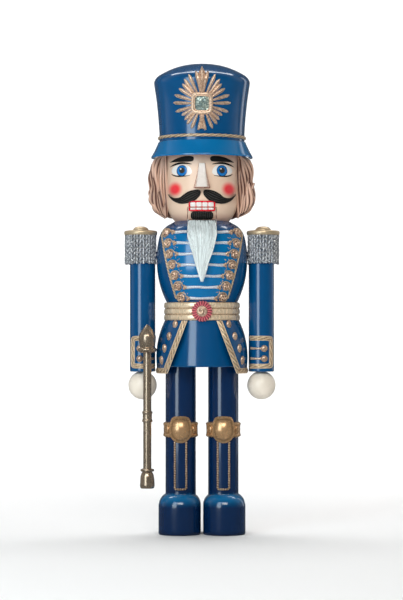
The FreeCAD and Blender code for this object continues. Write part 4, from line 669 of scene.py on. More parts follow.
# a shield that bows outwards, y = -reach * sqrt(1 - (x / 1.5 half)^2 - (z / 0.74 tall)^2), with a
# raised line inside its rim and a lug on each side
def makeKneeCap(sign):
    k = knees
    corners = [(-0.5, -0.5), (0.5, -0.5), (1.04, -0.15), (0.86, 0.4), (0.55, 0.52), (-0.55, 0.52),
               (-0.86, 0.4), (-1.04, -0.15)]
    rim = softened([(x * k["half"], z * k["tall"]) for x, z in corners], 3, closed=True)
    t = np.sin(np.linspace(0.05, 1, 12) * math.pi / 2)[:, None, None]
    flat = rim[None] * t
    x, z = flat[:, :, 0], flat[:, :, 1]
    reach = legs["radius"] + k["depth"]
    y = -reach * np.sqrt(1 - (x / (k["half"] * 1.5)) ** 2 - (z / (k["tall"] * 0.74)) ** 2)
    y = y + 0.5 * np.exp(-((t[:, :, 0] - 0.8) / 0.06) ** 2)
    under = -np.sqrt(legs["radius"] ** 2 - rim[:, 0] ** 2) + 0.8
    x, z = np.vstack([x, rim[None, :, 0]]), np.vstack([z, rim[None, :, 1]])
    y = np.vstack([y, under[None]])
    # the line inside the rim is painted darker, as shade
    tone = np.vstack([1 - 0.7 * np.exp(-((t[:, :, 0] - 0.8) / 0.07) ** 2) + 0 * flat[:, :, 0],
                      np.full((1, len(rim)), 0.2)])
    points = np.stack([sign * legs["offset"] + x, y, k["middle"] + z], 2)
    lugs = [dome((sign * legs["offset"] + way * k["lugX"], k["lugY"], k["middle"]),
                 (way * 0.75, -0.66, 0), 2.2, 3.4, 1.6, power=2.6) for way in (-1, 1)]
    return [gridPart(points, tone=tone)] + lugs


def makeBootBraid(sign):
    b = bootBraids
    route = evenly(softened([(-b["gap"], b["top"]), (-b["gap"], b["foot"] + 2),
                             (-b["gap"], b["foot"]), (b["gap"], b["foot"]),
                             (b["gap"], b["foot"] + 2), (b["gap"], b["top"])], 2), 0.33)
    path = laidOn(route[:, 0], route[:, 1], legRadius, 0.2, (sign * legs["offset"], 0))
    away = path * [1, 1, 0] - [sign * legs["offset"], 0, 0]
    return tube(path, b["radius"], away, sides=8, bead=b["bead"], strands=2, pitch=2.4, lobe=0.2)


for label, sign in (("left", 1), ("right", -1)):
    makePiece("boot_" + label + "_piece", [makeBoot(sign)], "figure", "lacquer_navy", bootReflectionPaint,
              ["boot_" + label], 50)
    shape = softProfile([(11.9, legs["foot"]), (legs["radius"], legs["foot"] + 0.4, 0.2),
                         (legs["radius"], legs["top"])])
    makePiece("leg_" + label + "_piece", [turned(shape, x=sign * legs["offset"], steps=96)],
              "figure", "lacquer_blue", lacquerNavy, ["leg_" + label])
makePiece("knee_straps_piece", [makeStrap(s) for s in (1, -1)], "figure", "gold_pearl", goldPearl,
          ["knee_straps"])
makePiece("knee_caps_piece", makeKneeCap(1) + makeKneeCap(-1), "figure", "gold_pearl", goldPearl,
          ["knee_caps"], 60)
makePiece("boot_braids_piece", [makeBootBraid(s) for s in (1, -1)], "figure", "gold_rope", goldRope,
          ["boot_braids"], 75)
print("legs and boots made")


# skirt, coat and belt

coat = {"hem": 129.4, "top": 172.1, "radius": 36.5, "openFoot": 27.6, "openTop": 11.4,
        "braid": 1.75, "braidInset": 2.2, "edging": 0.45, "edgingInsets": (0.42, 4.0),
        "reach": 36.45, "backRise": 5.3}
coatButtons = {"count": 4, "top": 168.6, "pitch": 9.5, "turn": 42.5, "fan": 6.2}
coatOuter = softProfile([(coat["radius"], coat["hem"]), (coat["radius"], 133.4, 2.0, 2.9),
                         (30.2, coat["top"])])
coatRadius = radiusFrom(coatOuter, 120, 175)


def openingAt(z, inset=0.0):
    share = (z - coat["hem"]) / (coat["top"] - coat["hem"])
    return coat["openFoot"] + (coat["openTop"] - coat["openFoot"]) * share + inset


# the hem rises behind the figure's sides, up to the foot of the skirt at the back
def hemLift(y, z):
    level = np.clip(y / coat["radius"], 0, 1) * coat["backRise"]
    return level * np.clip(1 - (z - coat["hem"]) / 20, 0, 1)


# the coat is its wall's outline (a closed loop of radius and height) carried round the back, from
# one front edge to the other; the edges lean, so every point of the loop has its own first angle
def makeCoat():
    inner = softProfile([(28.8, coat["top"]), (28.8, 168.1, 0, -0.4), (34.1, 149.4),
                         (34.1, coat["hem"])], 1.5)
    underside = np.array([[34.9, coat["hem"]], [35.9, coat["hem"]]])
    loop = np.vstack([coatOuter, inner, underside])
    begin = np.arcsin(openingAt(loop[:, 1]) / loop[:, 0])
    u = np.linspace(0, 1, 131)[:, None]
    angle = begin[None] + u * (2 * math.pi - 2 * begin[None])
    points = np.stack([loop[None, :, 0] * np.sin(angle), -loop[None, :, 0] * np.cos(angle),
                       loop[None, :, 1] + 0 * angle], 2)
    points[:, :, 2] += hemLift(points[:, :, 1], points[:, :, 2])
    return gridPart(points)


def coatRoute(inset):
    # down the figure's left front edge, round the hem at the back, and up the other edge
    z = np.linspace(coat["top"] - 0.4, coat["hem"] + inset, 60)
    x = openingAt(z, inset * 1.07)
    edge = laidOn(x, z, coatRadius, 0.0)
    start = math.asin(openingAt(coat["hem"] + inset, inset * 1.07) / coat["reach"])
    angle = np.linspace(start, 2 * math.pi - start, 160)[1:-1]
    hem = np.stack([coat["reach"] * np.sin(angle), -coat["reach"] * np.cos(angle),
                    0 * angle + coat["hem"] + inset], 1)
    hem[:, 2] += np.clip(hem[:, 1] / coat["radius"], 0, 1) * coat["backRise"]
    other = edge[::-1] * [-1, 1, 1]
    return evenly(softened(np.vstack([edge, hem, other]), 1), 0.5)


def makeCoatBraid():
    middle = coatRoute(coat["braidInset"])
    parts = [tube(middle, coat["braid"], middle * [1, 1, 0], sides=12, flat=0.66, strands=3,
                  pitch=5.4, lobe=0.5)]
    for inset in coat["edgingInsets"]:
        line = coatRoute(inset)
        parts.append(tube(line, coat["edging"], line * [1, 1, 0], sides=7, flat=1.3))
    return parts


def makeCoatButtons():
    c = coatButtons
    parts = []
    for number in range(c["count"]):
        z = c["top"] - c["pitch"] * number
        angle = math.radians(c["turn"] + c["fan"] * number)
        radius = float(coatRadius(z)) - 0.2
        for way in (-1, 1):
            out = np.array([way * math.sin(angle), -math.cos(angle), -0.12])
            spot = (radius * out[0], radius * out[1], z)
            parts.append(dome(spot, out, 2.5, 3.6, 1.8, power=2.2, shade=0.4 + 0.1 * number))
    return parts


belt = {"foot": 172.1, "ridges": 3, "pitch": 4.87, "radius": 29.7, "inner": 28.7, "swell": 1.12}


def makeBelt():
    parts = []
    for ridge in range(belt["ridges"]):
        low = belt["foot"] + belt["pitch"] * ridge
        t = np.linspace(-1, 1, 17)
        swell = belt["swell"] * np.sqrt(1 - np.abs(t) ** 2.4)
        loop = np.stack([belt["radius"] + swell, low + 2.435 + t * 2.43], 1)
        loop = np.vstack([loop, [[belt["inner"], loop[-1, 1]], [belt["inner"], loop[0, 1]]]])
        # the ridges are painted darker towards their edges, as shade where they meet
        tone = np.concatenate([np.clip(0.25 + 1.1 * (1 - np.abs(t) ** 3), 0, 1), [0, 0]])[:, None]
        parts.append(turned(loop, steps=128, ring=True, tone=tone))
    return parts


rosette = {"radius": 8.5, "rise": 3.2, "pleats": 21, "face": -29.7, "height": 179.4}


# pleated ribbon: the height swings with the angle, more towards the rim, and the rim is scalloped
def makeRosette():
    r = rosette
    t = np.linspace(0.3, 1, 12)[:, None]
    turn = np.linspace(0, 2 * math.pi, r["pleats"] * 8, endpoint=False)[None, :]
    fold = np.cos(r["pleats"] * turn + 1.6 * t)
    lift = r["rise"] * (0.72 + 0.2 * np.sin(t * math.pi * 0.9) + 0.13 * fold * t - 0.45 * t ** 8)
    spread = r["radius"] * t * (0.965 + 0.035 * np.cos(r["pleats"] * turn) * t ** 3)
    lift = np.vstack([lift[:1] * 0.9, lift, np.full((1, lift.shape[1]), -1.0)])
    spread = np.vstack([spread[:1] * 0.2, spread, spread[-1:]])
    points = np.stack([spread * np.cos(turn), r["face"] - lift,
                       r["height"] + spread * np.sin(turn)], 2)
    # the troughs of the folds are painted darker, as shade
    tone = np.vstack([0 * fold[:1], 0.5 + 0.5 * fold, 0 * fold[:1]])
    return gridPart(points, tone=tone)


def swirl(turn, t):
    # two arms of a spiral, with a ring at the rim
    arms = 0.16 * np.cos(2 * turn + 8.5 * t) * (t > 0.12)
    ring = 0.1 * np.exp(-((t - 0.86) / 0.06) ** 2)
    return arms * np.sin(math.pi * np.clip(t * 1.15, 0, 1)) + ring


def rose(turn, t):
    # petals that wind inwards
    return 0.3 * np.cos(3 * turn - 10 * t) * np.sin(math.pi * t ** 0.8) - 0.1 * np.cos(14 * t)


skirtOutline = softProfile([(31.3, 134.7), (32.1, 135.5, 0.5), (28.6, 168.1), (28.6, 178)])
makePiece("skirt_block_piece", [turned(skirtOutline, steps=128)], "figure", "lacquer_blue",
          lacquerBlue, ["skirt_block"])
makePiece("coat_skirt_piece", [makeCoat()], "figure", "lacquer_blue", lacquerBlue, ["coat_skirt"])
makePiece("coat_braid_piece", makeCoatBraid(), "figure", "gold_rope", goldRope, ["coat_braid"], 75)
makePiece("coat_buttons_piece", makeCoatButtons(), "figure", "gold_cast", goldCast,
          ["coat_buttons"])
makePiece("belt_piece", makeBelt(), "figure", "antique_brass", brass, ["belt"], 60)
makePiece("belt_rosette_piece", [makeRosette()], "figure", "red_pleats", redPleats,
          ["belt_rosette"], 70)
bossAt = (0, rosette["face"] - rosette["rise"] + 0.5, rosette["height"])
makePiece("belt_boss_piece", [dome(bossAt, (0, -1, 0), 4.4, 4.4, 1.9, power=2.8, wave=swirl,
                                   rings=26, sides=64, rim=lambda a: 0.05 * np.cos(16 * a))],
          "figure", "antique_brass", goldCast, ["belt_boss"], 60)
print("coat and belt made")


# jaw slot: taken out of every piece that the lever passes through

slot = {"half": 11.65, "outline": [(-60, 236.6), (-24, 236.6), (4, 248.4), (60, 248.4), (60, 291.3),
                                   (2.4, 262.7), (-60, 262.7)]}
slotCut = board("slotCutter", slot["outline"], slot["half"])
bpy.context.scene.collection.objects.link(slotCut)
recalculated(slotCut.data)


# torso and chest trim

chest = {"panelLift": 0.6, "footHalf": 19.7, "topHalf": 31.7, "foot": 189.2, "top": 241.4,
         "bow": 1.3, "rows": 7, "rosetteTop": 242.4, "rosettePitch": 8.62, "rosetteFoot": 16.4,
         "rosetteHead": 28.3, "rosetteBow": 5.6, "barTop": 242.8, "barPitch": 8.86, "inset": 6.4,
         "slotHalf": 11.9, "braid": 0.85, "braidGap": 0.75, "cord": 0.5, "cordLoop": 3.7,
         "rosette": 3.6, "bar": 1.08, "barLift": 1.75}
torsoShape = softProfile([(28.6, 179.8), (28.6, 186.7), (29.2, 188.0, 0, 1.83),
                          (36.7, 219.6, 2, 0.95), (34.1, 241.5, 2, 1.21), (25.6, 250.4, 0.6),
                          (21.9, 252.5)])
torsoRadius = radiusFrom(torsoShape, 186.7, 252.5)


def panelHalf(z):
    share = (z - chest["foot"]) / (chest["top"] - chest["foot"])
    return (chest["footHalf"] + (chest["topHalf"] - chest["footHalf"]) * share
            + chest["bow"] * 4 * share * (1 - share))


def rosetteSpot(row):
    c = chest
    share = 1 - row / (c["rows"] - 1)
    half = (c["rosetteFoot"] + (c["rosetteHead"] - c["rosetteFoot"]) * share
            + c["rosetteBow"] * share * (1 - share))
    return half, c["rosetteTop"] - c["rosettePitch"] * row


def makePanel():
    z = np.linspace(chest["foot"], chest["top"], 48)
    spine = np.stack([0 * z, z], 1)
    return strip(spine, panelHalf(z), chest["panelLift"], torsoRadius, crown=0.0, across=41,
                 endDrop=False, sink=0.5)


def outwardAt(x, z, lift=0.0):
    spot = laidOn(np.array(float(x)), np.array(float(z)), torsoRadius, lift)
    slope = float(torsoRadius(z + 1) - torsoRadius(z - 1)) / 2
    out = np.array([spot[0], spot[1], 0]) / math.hypot(spot[0], spot[1])
    return spot, out + np.array([0, 0, -slope])


def makeChestBraids():
    parts = []
    for way in (-1, 1):
        z = np.linspace(chest["foot"] + 0.5, chest["top"] - 0.5, 110)
        x = panelHalf(z) + chest["braidGap"]
        line = laidOn(x * way, z, torsoRadius, 0.35)
        parts.append(tube(line, chest["braid"], line * [1, 1, 0], sides=8, strands=2, pitch=2.8,
                          lobe=0.25))
        for row in range(chest["rows"]):
            half, height = rosetteSpot(row)
            turn = np.linspace(-0.35 * math.pi, 0.95 * math.pi, 26)
            x = half + chest["cordLoop"] * np.cos(turn)
            z = height + chest["cordLoop"] * np.sin(turn)
            loop = laidOn(x * way, z, torsoRadius, 0.75)
            parts.append(tube(loop, chest["cord"], loop * [1, 1, 0], sides=6, strands=2, pitch=2.2,
                              lobe=0.25))
    return parts


def makeChestRosettes():
    parts = []
    for row in range(chest["rows"]):
        half, height = rosetteSpot(row)
        for way in (-1, 1):
            spot, out = outwardAt(way * half, height, 0.4)
            start = seed.uniform(0, 6.2)
            size = chest["rosette"]
            parts.append(dome(spot, out, size, size, 1.9, power=3.0, rings=20, sides=40,
                              wave=lambda a, t, s=start: rose(a + s, t),
                              rim=lambda a, s=start: 0.07 * np.cos(7 * a + s),
                              shade=seed.uniform(0.3, 0.7)))
    return parts


def barSpot(row):
    return rosetteSpot(row)[0] - chest["inset"], chest["barTop"] - chest["barPitch"] * row


# bars across the chest sag and swell a little; the jaw slot parts the top one
def makeBars():
    parts = []
    for row in range(chest["rows"]):
        half, height = barSpot(row)
        gap = chest["slotHalf"]
        runs = [(-half, -gap), (gap, half)] if row == 0 else [(-half, half)]
        for a, b in runs:
            x = np.linspace(a, b, max(12, int((b - a) * 1.6)))
            sag = 0.35 * np.sin(x * 0.35 + row * 1.9)
            wide = chest["bar"] + 0.3 * (np.abs(x) / half) ** 3
            parts.append(strip(np.stack([x, height + sag * 0.6], 1), wide, chest["barLift"],
                               torsoRadius, crown=0.75))
    return parts


# three knobs at each end of a bar, and grains of gold under them
def makeKnobs():
    parts = []
    for row in range(chest["rows"]):
        half, height = barSpot(row)
        for way in (-1, 1):
            for dx, dz, size in ((0.4, 0.0, 1.45), (1.6, 1.0, 1.1), (1.6, -1.0, 1.1)):
                spot, out = outwardAt(way * (half + dx), height + dz, 0.7)
                parts.append(dome(spot, out, size, size, 1.3, power=2.0, rings=6, sides=14))
            for _ in range(4):
                dx, dz = seed.uniform(-1.2, 2.4), seed.uniform(-5.6, -3.0)
                if height + dz < chest["foot"] + 1.5:
                    continue
                spot, out = outwardAt(way * (half + dx), height + dz, 0.6)
                parts.append(dome(spot, out, 0.42, 0.42, 0.6, rings=4, sides=8))
    return parts


torsoPiece = makePiece("torso_piece", [turned(torsoShape, steps=160)], "figure", "lacquer_blue",
                       lacquerBlue, ["torso"])
cutBy(torsoPiece, slotCut)
panelPiece = makePiece("plastron_piece", [makePanel()], "figure", "lacquer_blue", lacquerBright,
                       ["plastron"])
cutBy(panelPiece, slotCut, "FAST")
makePiece("chest_braids_piece", makeChestBraids(), "figure", "gold_rope", goldRope,
          ["chest_braids"], 75)
makePiece("chest_rosettes_piece", makeChestRosettes(), "figure", "gold_cast", goldCast,
          ["chest_rosettes"], 60)
makePiece("chest_bars_piece", makeBars(), "figure", "silver_bars", silverBars, ["chest_bars"], 60)
makePiece("bar_knobs_piece", makeKnobs(), "figure", "silver_bars", goldCast, ["bar_knobs"], 60)
print("torso made")


# head and face

face = {"radius": 28.7, "eyeX": 16.1, "eyeZ": 292.1, "iris": 4.5, "pupil": 2.5, "glint": 0.62,
        "mouthTop": 267.85, "mouthFoot": 259.4, "lipHalf": 10.8, "lip": 1.15, "teeth": 4}
headShape = softProfile([(21.9, 252.5, 0, 2.27), (face["radius"], 271.0, 0.5),
                         (face["radius"], 308.0)])
headRadius = radiusFrom(headShape, 252.5, 308)


# nose: a wedge whose width and reach grow downwards; each section is a softened trapezium, and the
# last sections turn in under the tip
def makeNose():
    t = np.concatenate([np.linspace(0, 1, 22), [1.0, 1.0, 1.0]])
    under = np.concatenate([np.zeros(22), [0.12, 0.4, 0.75]])
    z = 297.9 - 19.4 * t - 0.7 * np.sin(under * 2.2)
    reach = (1.0 + 7.6 * t ** 1.12) * (1 - under)
    foot = (2.9 + 4.0 * t ** 1.4) * (1 - 0.12 * under)
    front = (2.15 + 1.95 * t) * (1 - 0.2 * under)
    sections = []
    for k in range(len(t)):
        skin = -math.sqrt(float(headRadius(z[k])) ** 2 - foot[k] ** 2)
        tip = -(face["radius"] + reach[k])
        shape = [(-foot[k], skin + 1.5), (-foot[k], skin),
                 (-front[k] * 1.02, tip + 0.25 * reach[k]), (-front[k], tip), (front[k], tip),
                 (front[k] * 1.02, tip + 0.25 * reach[k]), (foot[k], skin), (foot[k], skin + 1.5)]
        section = softened(shape, 3, closed=True)
        sections.append(np.hstack([section, np.full((len(section), 1), z[k])]))
    points = np.array(sections)
    # painted highlight and shade: the tone is highest on the front face, lower on the sides and
    # lowest under the tip
    forward = (-points[:, :, 1] - face["radius"]) / np.maximum(reach[:, None] + 0.1, 0.4)
    tone = np.clip(0.3 + 0.9 * forward, 0, 1) * (1 - 0.95 * np.clip(under * 4, 0, 1))[:, None]
    return gridPart(points, tone=tone)


def bothSides(make):
    return [make(way) for way in (-1, 1)]


def browPart(way):
    knots = np.array([[6.6, 301.2, 0.9], [7.5, 301.3, 2.1], [12, 301.5, 2.4], [17.5, 301.2, 1.95],
                      [22, 300.4, 1.15], [25.8, 299.4, 0.15]])
    line = evenly(softened(knots, 3), 0.5)
    return strip(line[:, :2] * [way, 1], line[:, 2], 0.85, headRadius, crown=0.8, across=13)


def lidLine(way, knots):
    line = evenly(softened(np.array(knots), 3), 0.5)
    return strip(line[:, :2] * [way, 1], line[:, 2], 0.3, headRadius, crown=0.6, across=5)


def moustachePart(way):
    knots = np.array([[1.0, 274.9, 0.7], [2.0, 274.7, 2.2], [4.5, 273.5, 3.5], [8.4, 271.5, 4.6],
                      [12.4, 269.8, 4.2], [17.0, 268.0, 2.75], [22.4, 268.9, 1.25],
                      [25.6, 271.4, 0.55], [27.5, 273.9, 0.12]])
    line = evenly(softened(knots, 3), 0.35)
    return strip(line[:, :2] * [way, 1], line[:, 2], 2.5, headRadius, crown=0.75, across=33,
                 groove=lambda c, s: 0.3 * (0.5 + 0.5 * np.cos(15 * c + 3.0 * np.sin(5 * s))) ** 7
                 * (1 - c ** 6))


# three sides of the red border of the mouth, open along the line that the mouth parts on
def lipPart(corner, end):
    x = face["lipHalf"] - face["lip"] / 2
    low, high = corner * 0.8 + end * 0.2, corner * 0.93 + end * 0.07
    route = np.array([(-x, end), (-x, low), (-x + 0.15, high), (-x + 0.8, corner),
                      (x - 0.8, corner), (x - 0.15, high), (x, low), (x, end)])
    line = evenly(softened(route, 2), 0.4)
    return strip(line, face["lip"] / 2, 1.25, headRadius, crown=0.55, across=9, endDrop=False)


# the red behind the teeth, from low to high
def gumPart(low, high):
    z = np.array([low, (low + high) / 2, high])
    return strip(np.stack([0 * z, z], 1), face["lipHalf"] - face["lip"], 0.3, headRadius, crown=0.0,
                 across=25, endDrop=False)


def teethParts(low, high):
    inner = face["lipHalf"] - face["lip"]
    pitch = 2 * inner / face["teeth"]
    parts = []
    for number in range(face["teeth"]):
        x = -inner + pitch * (number + 0.5)
        outline = circleOutline(x, (low + high) / 2, pitch / 2 - 0.22, (high - low) / 2, 28, 6.0)
        parts.append(patch(outline, 0.85, headRadius, power=7.0, rings=8, edge=0.4))
    return parts


headPiece = makePiece("head_piece", [turned(headShape, steps=144)], "figure", "skin", skinPaint,
                      ["head"])
cutBy(headPiece, slotCut)
makePiece("nose_piece", [makeNose()], "figure", "skin", noseShadedPaint, ["nose"], 50)
makePiece("eyebrows_piece", bothSides(browPart), "figure", "hair_black", hairBlack, ["eyebrows"],
          60)
makePiece("moustache_piece", bothSides(moustachePart), "figure", "hair_black", hairBlack,
          ["moustache"], 60)
makePiece("upper_lip_piece", [lipPart(face["mouthTop"] - face["lip"] / 2, 263.0),
                              gumPart(263.0, 266.9)], "figure", "lip_red", lipRed, ["upper_lip"],
          60)
makePiece("upper_teeth_piece", teethParts(263.1, 266.6), "figure", "tooth_white", toothWhite,
          ["upper_teeth"], 60)

eyeX, eyeZ = face["eyeX"], face["eyeZ"]
whiteRim = [(7.6, 290.4), (9.4, 295.0), (13.5, 297.2), (19.0, 297.3), (23.6, 295.2), (24.9, 291.6),
            (21.5, 288.6), (16.0, 287.7), (10.6, 288.2)]
makePiece("eye_whites", [patch(softened([(way * x, z) for x, z in whiteRim], 3, closed=True), 0.16,
                               headRadius, edge=0.1, power=3) for way in (-1, 1)],
          "figure", "tooth_white", toothWhite)
makePiece("iris_rims", [patch(circleOutline(way * eyeX, eyeZ, face["iris"]), 0.3, headRadius,
                              edge=0.3) for way in (-1, 1)], "figure", "lacquer_navy", lacquerNavy)
makePiece("irises", [patch(circleOutline(way * eyeX, eyeZ, face["iris"] - 0.55), 0.42, headRadius,
                           edge=0.5) for way in (-1, 1)], "figure", "lacquer_bright", irisBlue)
makePiece("pupils", [patch(circleOutline(way * eyeX, eyeZ + 0.2, face["pupil"]), 0.55, headRadius,
                           edge=0.6) for way in (-1, 1)], "figure", "hair_black", hairBlack)
makePiece("eye_glints", [patch(circleOutline(way * eyeX - 0.9, eyeZ + 1.4, face["glint"],
                                             steps=14), 0.7, headRadius, edge=0.6, rings=4)
                         for way in (-1, 1)], "figure", "tooth_white", toothWhite)
upperLid = [[25.9, 295.6, 0.15], [22.2, 297.3, 0.75], [17.4, 298.3, 0.85], [12, 298.0, 0.6],
            [8.2, 297.1, 0.15]]
lowerLid = [[24.6, 289.9, 0.15], [22.6, 288.5, 0.5], [19.2, 287.7, 0.6], [14.5, 287.6, 0.45],
            [9.6, 288.1, 0.12]]
makePiece("eye_lines", [lidLine(way, knots) for way in (-1, 1) for knots in (upperLid, lowerLid)],
          "figure", "hair_black", hairBlack)
print("face made")


# hair: a base with carved locks over it

hair = {"locks": 25, "size": 3.5, "inner": 29.4, "slotAngle": 25.0, "slotTop": 286.0, "top": 308.5,
        "frontLocks": 6}
hairShape = softProfile([(28.0, 253.6), (36.6, 259.5, 1.5, 2.6), (42.6, 281.0, 2, 1.4),
                         (38.0, 306.0)])
hairRadius = radiusFrom(hairShape, 253.6, 306.0)


# a wall of hair round the back of the head, its outside carved with upright grooves that are
# painted darker as shade
def makeHairBase():
    outer = np.stack([hairShape[:, 0] - 3.2, hairShape[:, 1]], 1)
    outer[0, 0] = 27.0
    outer[:, 1] = np.clip(outer[:, 1], 255.5, 306)
    inner = softProfile([(28.2, 306.0), (28.2, 271.0, 0, 0), (24.5, 255.5)], 2.0)
    loop = np.vstack([outer, inner])
    begin = np.arccos(1.0 / loop[:, 0])
    u = np.linspace(0, 1, 150)[:, None]
    angle = begin[None] + u * (2 * math.pi - 2 * begin[None])
    carve = 0.5 * np.cos(angle * 44 + 0.12 * loop[None, :, 1])
    radius = loop[None, :, 0] + carve * (loop[None, :, 0] > 28.6)
    points = np.stack([radius * np.sin(angle), -radius * np.cos(angle),
                       loop[None, :, 1] + 0 * angle], 2)
    return gridPart(points, tone=np.clip(0.3 + carve, 0, 1) + 0 * angle)


# a lock follows the hair's outline down, at a share of its depth, and sways sideways as it goes
def lock(angle, share, top, foot, size, sway, sweep, phase, shade, flick=0.0):
    s = np.linspace(0, 1, 40)
    z = top + (foot - top) * s
    depth = hairRadius(np.clip(z, 256, 306)) - size * 0.72 - 1.2 * np.clip(z - 302, 0, 9)
    radius = hair["inner"] + share * (depth - hair["inner"]) + 1.3 * np.sin(10 * s + phase) * share
    radius = radius + flick * np.clip(s - 0.75, 0, 1) * 4
    swing = sway * np.sin(2 * math.pi * 1.15 * s + phase)
    turn = np.radians(angle + sweep * np.sin(math.pi * s) + swing)
    path = np.stack([radius * np.sin(turn), -radius * np.cos(turn), z], 1)
    grow = np.clip(0.5 + 2.4 * s, 0, 1) * np.clip((1.01 - s) * 6, 0.05, 1) ** 0.5
    return tube(path, size, path * [1, 1, 0], sides=20, flat=0.8, strands=3, pitch=46, lobe=0.3,
                grow=grow, shade=shade)


def makeLocks():
    parts = []
    for side in (-1, 1):
        # locks at the front edge, one behind the other from the face outwards
        for number in range(hair["frontLocks"]):
            share = number / (hair["frontLocks"] - 1)
            angle = 87.5 - 3.2 * (1 - share) + 1.6 * (number % 2)
            parts.append(lock(side * angle, share * 0.94, hair["top"], 255.0 + 1.2 * number,
                              2.5 + 0.5 * share, 2.4, 3.0, 0.8 + 0.9 * number,
                              seed.uniform(0.25, 0.8)))
        parts.append(lock(side * 91, 1.0, 284, 259.5, 2.0, 1.0, 1.0, 2.0, 0.7, flick=1.2))
        parts.append(lock(side * 97, 1.0, 279, 258.0, 2.2, 1.0, 1.0, 0.4, 0.4, flick=1.0))
    for number in range(hair["locks"]):
        angle = 95 + 170 * number / (hair["locks"] - 1)
        back = abs(angle - 180) < hair["slotAngle"]
        foot = hair["slotTop"] if back else seed.uniform(254.8, 257.5)
        parts.append(lock(angle, 1.0, hair["top"], foot, hair["size"], 5.0, seed.uniform(-2, 2),
                          0.7 * number, seed.uniform(0.2, 0.8)))
        if not back and number % 2:
            parts.append(lock(angle + 3.5, 1.0, 296, 262.0, 2.4, 3.0, 0.0, 1.4 * number,
                              seed.uniform(0.4, 0.95)))
    return parts


hairBase = makePiece("hair_base", [makeHairBase()], "figure", "hair_brown", hairBrown, [], 60)
cutBy(hairBase, slotCut, "FAST")
makePiece("hair_locks", makeLocks(), "figure", "hair_brown", hairBrown, ["hair"], 70)
print("hair made")


# hat

crownShape = softProfile([(33.9, 308.0), (34.5, 308.5, 0.3), (34.5, 322.0, 2, -0.67),
                          (39.0, 364.5, 1.2, 0.83), (34.9, 370.5, 1.2, 2.2), (4.0, 380.0)])
crownRadius = radiusFrom(crownShape[crownShape[:, 0] > 33], 308.6, 366)
visor = {"half": 8.0}  # how far its ends stay from the hat's sides, towards the front
hatBand = {"radius": 34.9, "height": 319.9, "cord": 1.3, "twists": 38}
badge = {"z": 344.9, "frame": 7.35, "frameTube": 1.2, "rayFrom": 8.4, "rayWide": 1.3,
         "rayLift": 1.45, "gem": 6.5, "gemRise": 1.7}
# the badge's rays on one side: degrees round its middle, and how far each one reaches
rays = [(115, 25.3), (127, 23.6), (136, 21.8), (148, 21.6), (164, 22.8), (180, 23.1), (198.5, 22.3),
        (211, 18.9), (223.5, 19.1), (234, 20.4), (247, 21.8)]


def makeVisor():
    loop = softProfile([(33.6, 309.5), (39.8, 303.7, 0.4), (41.2, 303.7, 0.45),
                        (41.1, 304.9, 0.3, -0.3), (35.4, 316.5, 0.4), (33.6, 316.7)], 0.7)
    limit = math.pi - np.arccos(visor["half"] / loop[:, 0])
    u = np.linspace(-1, 1, 111)[:, None]
    angle = u * limit[None]
    points = np.stack([loop[None, :, 0] * np.sin(angle), -loop[None, :, 0] * np.cos(angle),
                       loop[None, :, 1] + 0 * angle], 2)
    return gridPart(points)


def makeRays():
    parts = []
    for degrees, reach in rays:
        for way in (1, -1):
            turn = math.radians(degrees)
            along = np.linspace(badge["rayFrom"], reach, 30)
            spine = np.stack([way * along * math.cos(turn), badge["z"] + along * math.sin(turn)], 1)
            spine[:, 1] += 1.2 * (spine[:, 0] / 23) ** 2
            share = np.linspace(0, 1, 30)
            point = np.clip((1.03 - share) * 5, 0.1, 1) ** 0.6
            wide = badge["rayWide"] * (0.5 + 0.55 * np.sin(share * 2.2)) * point
            parts.append(strip(spine, wide, badge["rayLift"], crownRadius, crown=0.85, across=9,
                               groove=lambda c, s: 0.2 * np.exp(-((np.abs(c) - 0.5) / 0.16) ** 2)
                               * (1 - s ** 8), shade=seed.uniform(0.3, 0.7)))
    return parts


def leaf(knots, lift, groove=None):
    line = evenly(softened(np.array(knots, float), 3), 0.4)
    return strip(line[:, :2], line[:, 2], lift, crownRadius, crown=0.7, across=11, groove=groove)


def makeBadgeFrame():
    z = badge["z"]
    parts = []
    half = badge["frame"]
    for size, thick, lift in ((half, badge["frameTube"], 1.25), (half - 1.35, 0.5, 1.9),
                              (half + 1.05, 0.42, 1.0)):
        outline = circleOutline(0, z, size, steps=96, square=4.2)
        path = laidOn(outline[:, 0], outline[:, 1], crownRadius, lift)
        parts.append(tube(path, thick, path * [1, 1, 0], sides=10, closed=True, caps=False))
    def veins(c, s):
        return 0.16 * (0.5 + 0.5 * np.cos(10 * c)) + 0 * s

    for way in (-1, 1):
        parts.append(leaf([(way * 1.0, z + 8.2, 0.9), (way * 1.9, z + 15, 1.5),
                           (way * 3.4, z + 21, 1.9), (way * 4.6, z + 24.4, 1.1),
                           (way * 5.2, z + 25.4, 0.3)], 2.0, veins))
        parts.append(leaf([(way * 0.7, z + 9, 0.8), (way * 1.3, z + 18, 1.1),
                           (way * 1.9, z + 24, 0.8), (way * 2.1, z + 26, 0.2)], 2.3, veins))
        parts.append(leaf([(way * 0.7, z - 8.0, 0.9), (way * 1.0, z - 13, 0.9),
                           (way * 2.0, z - 18.6, 1.5), (way * 3.0, z - 21.1, 0.8)], 2.0, veins))
    parts.append(leaf([(0, z + 8.0, 1.2), (0, z + 17, 1.4), (0, z + 23.5, 2.0), (0, z + 26.4, 1.5),
                       (0, z + 29.3, 0.15)], 2.6, veins))
    parts.append(leaf([(-2.4, z + 23.4, 0.5), (0, z + 22.8, 0.75), (2.4, z + 23.4, 0.5)], 2.6))
    parts.append(leaf([(0, z - 8.0, 1.3), (0, z - 14, 0.9), (0, z - 20.2, 1.4)], 2.2, veins))
    for height in (z + 10.3, z - 10.2):
        parts.append(leaf([(-2.0, height, 0.5), (0, height, 0.8), (2.0, height, 0.5)], 2.4))
    return parts


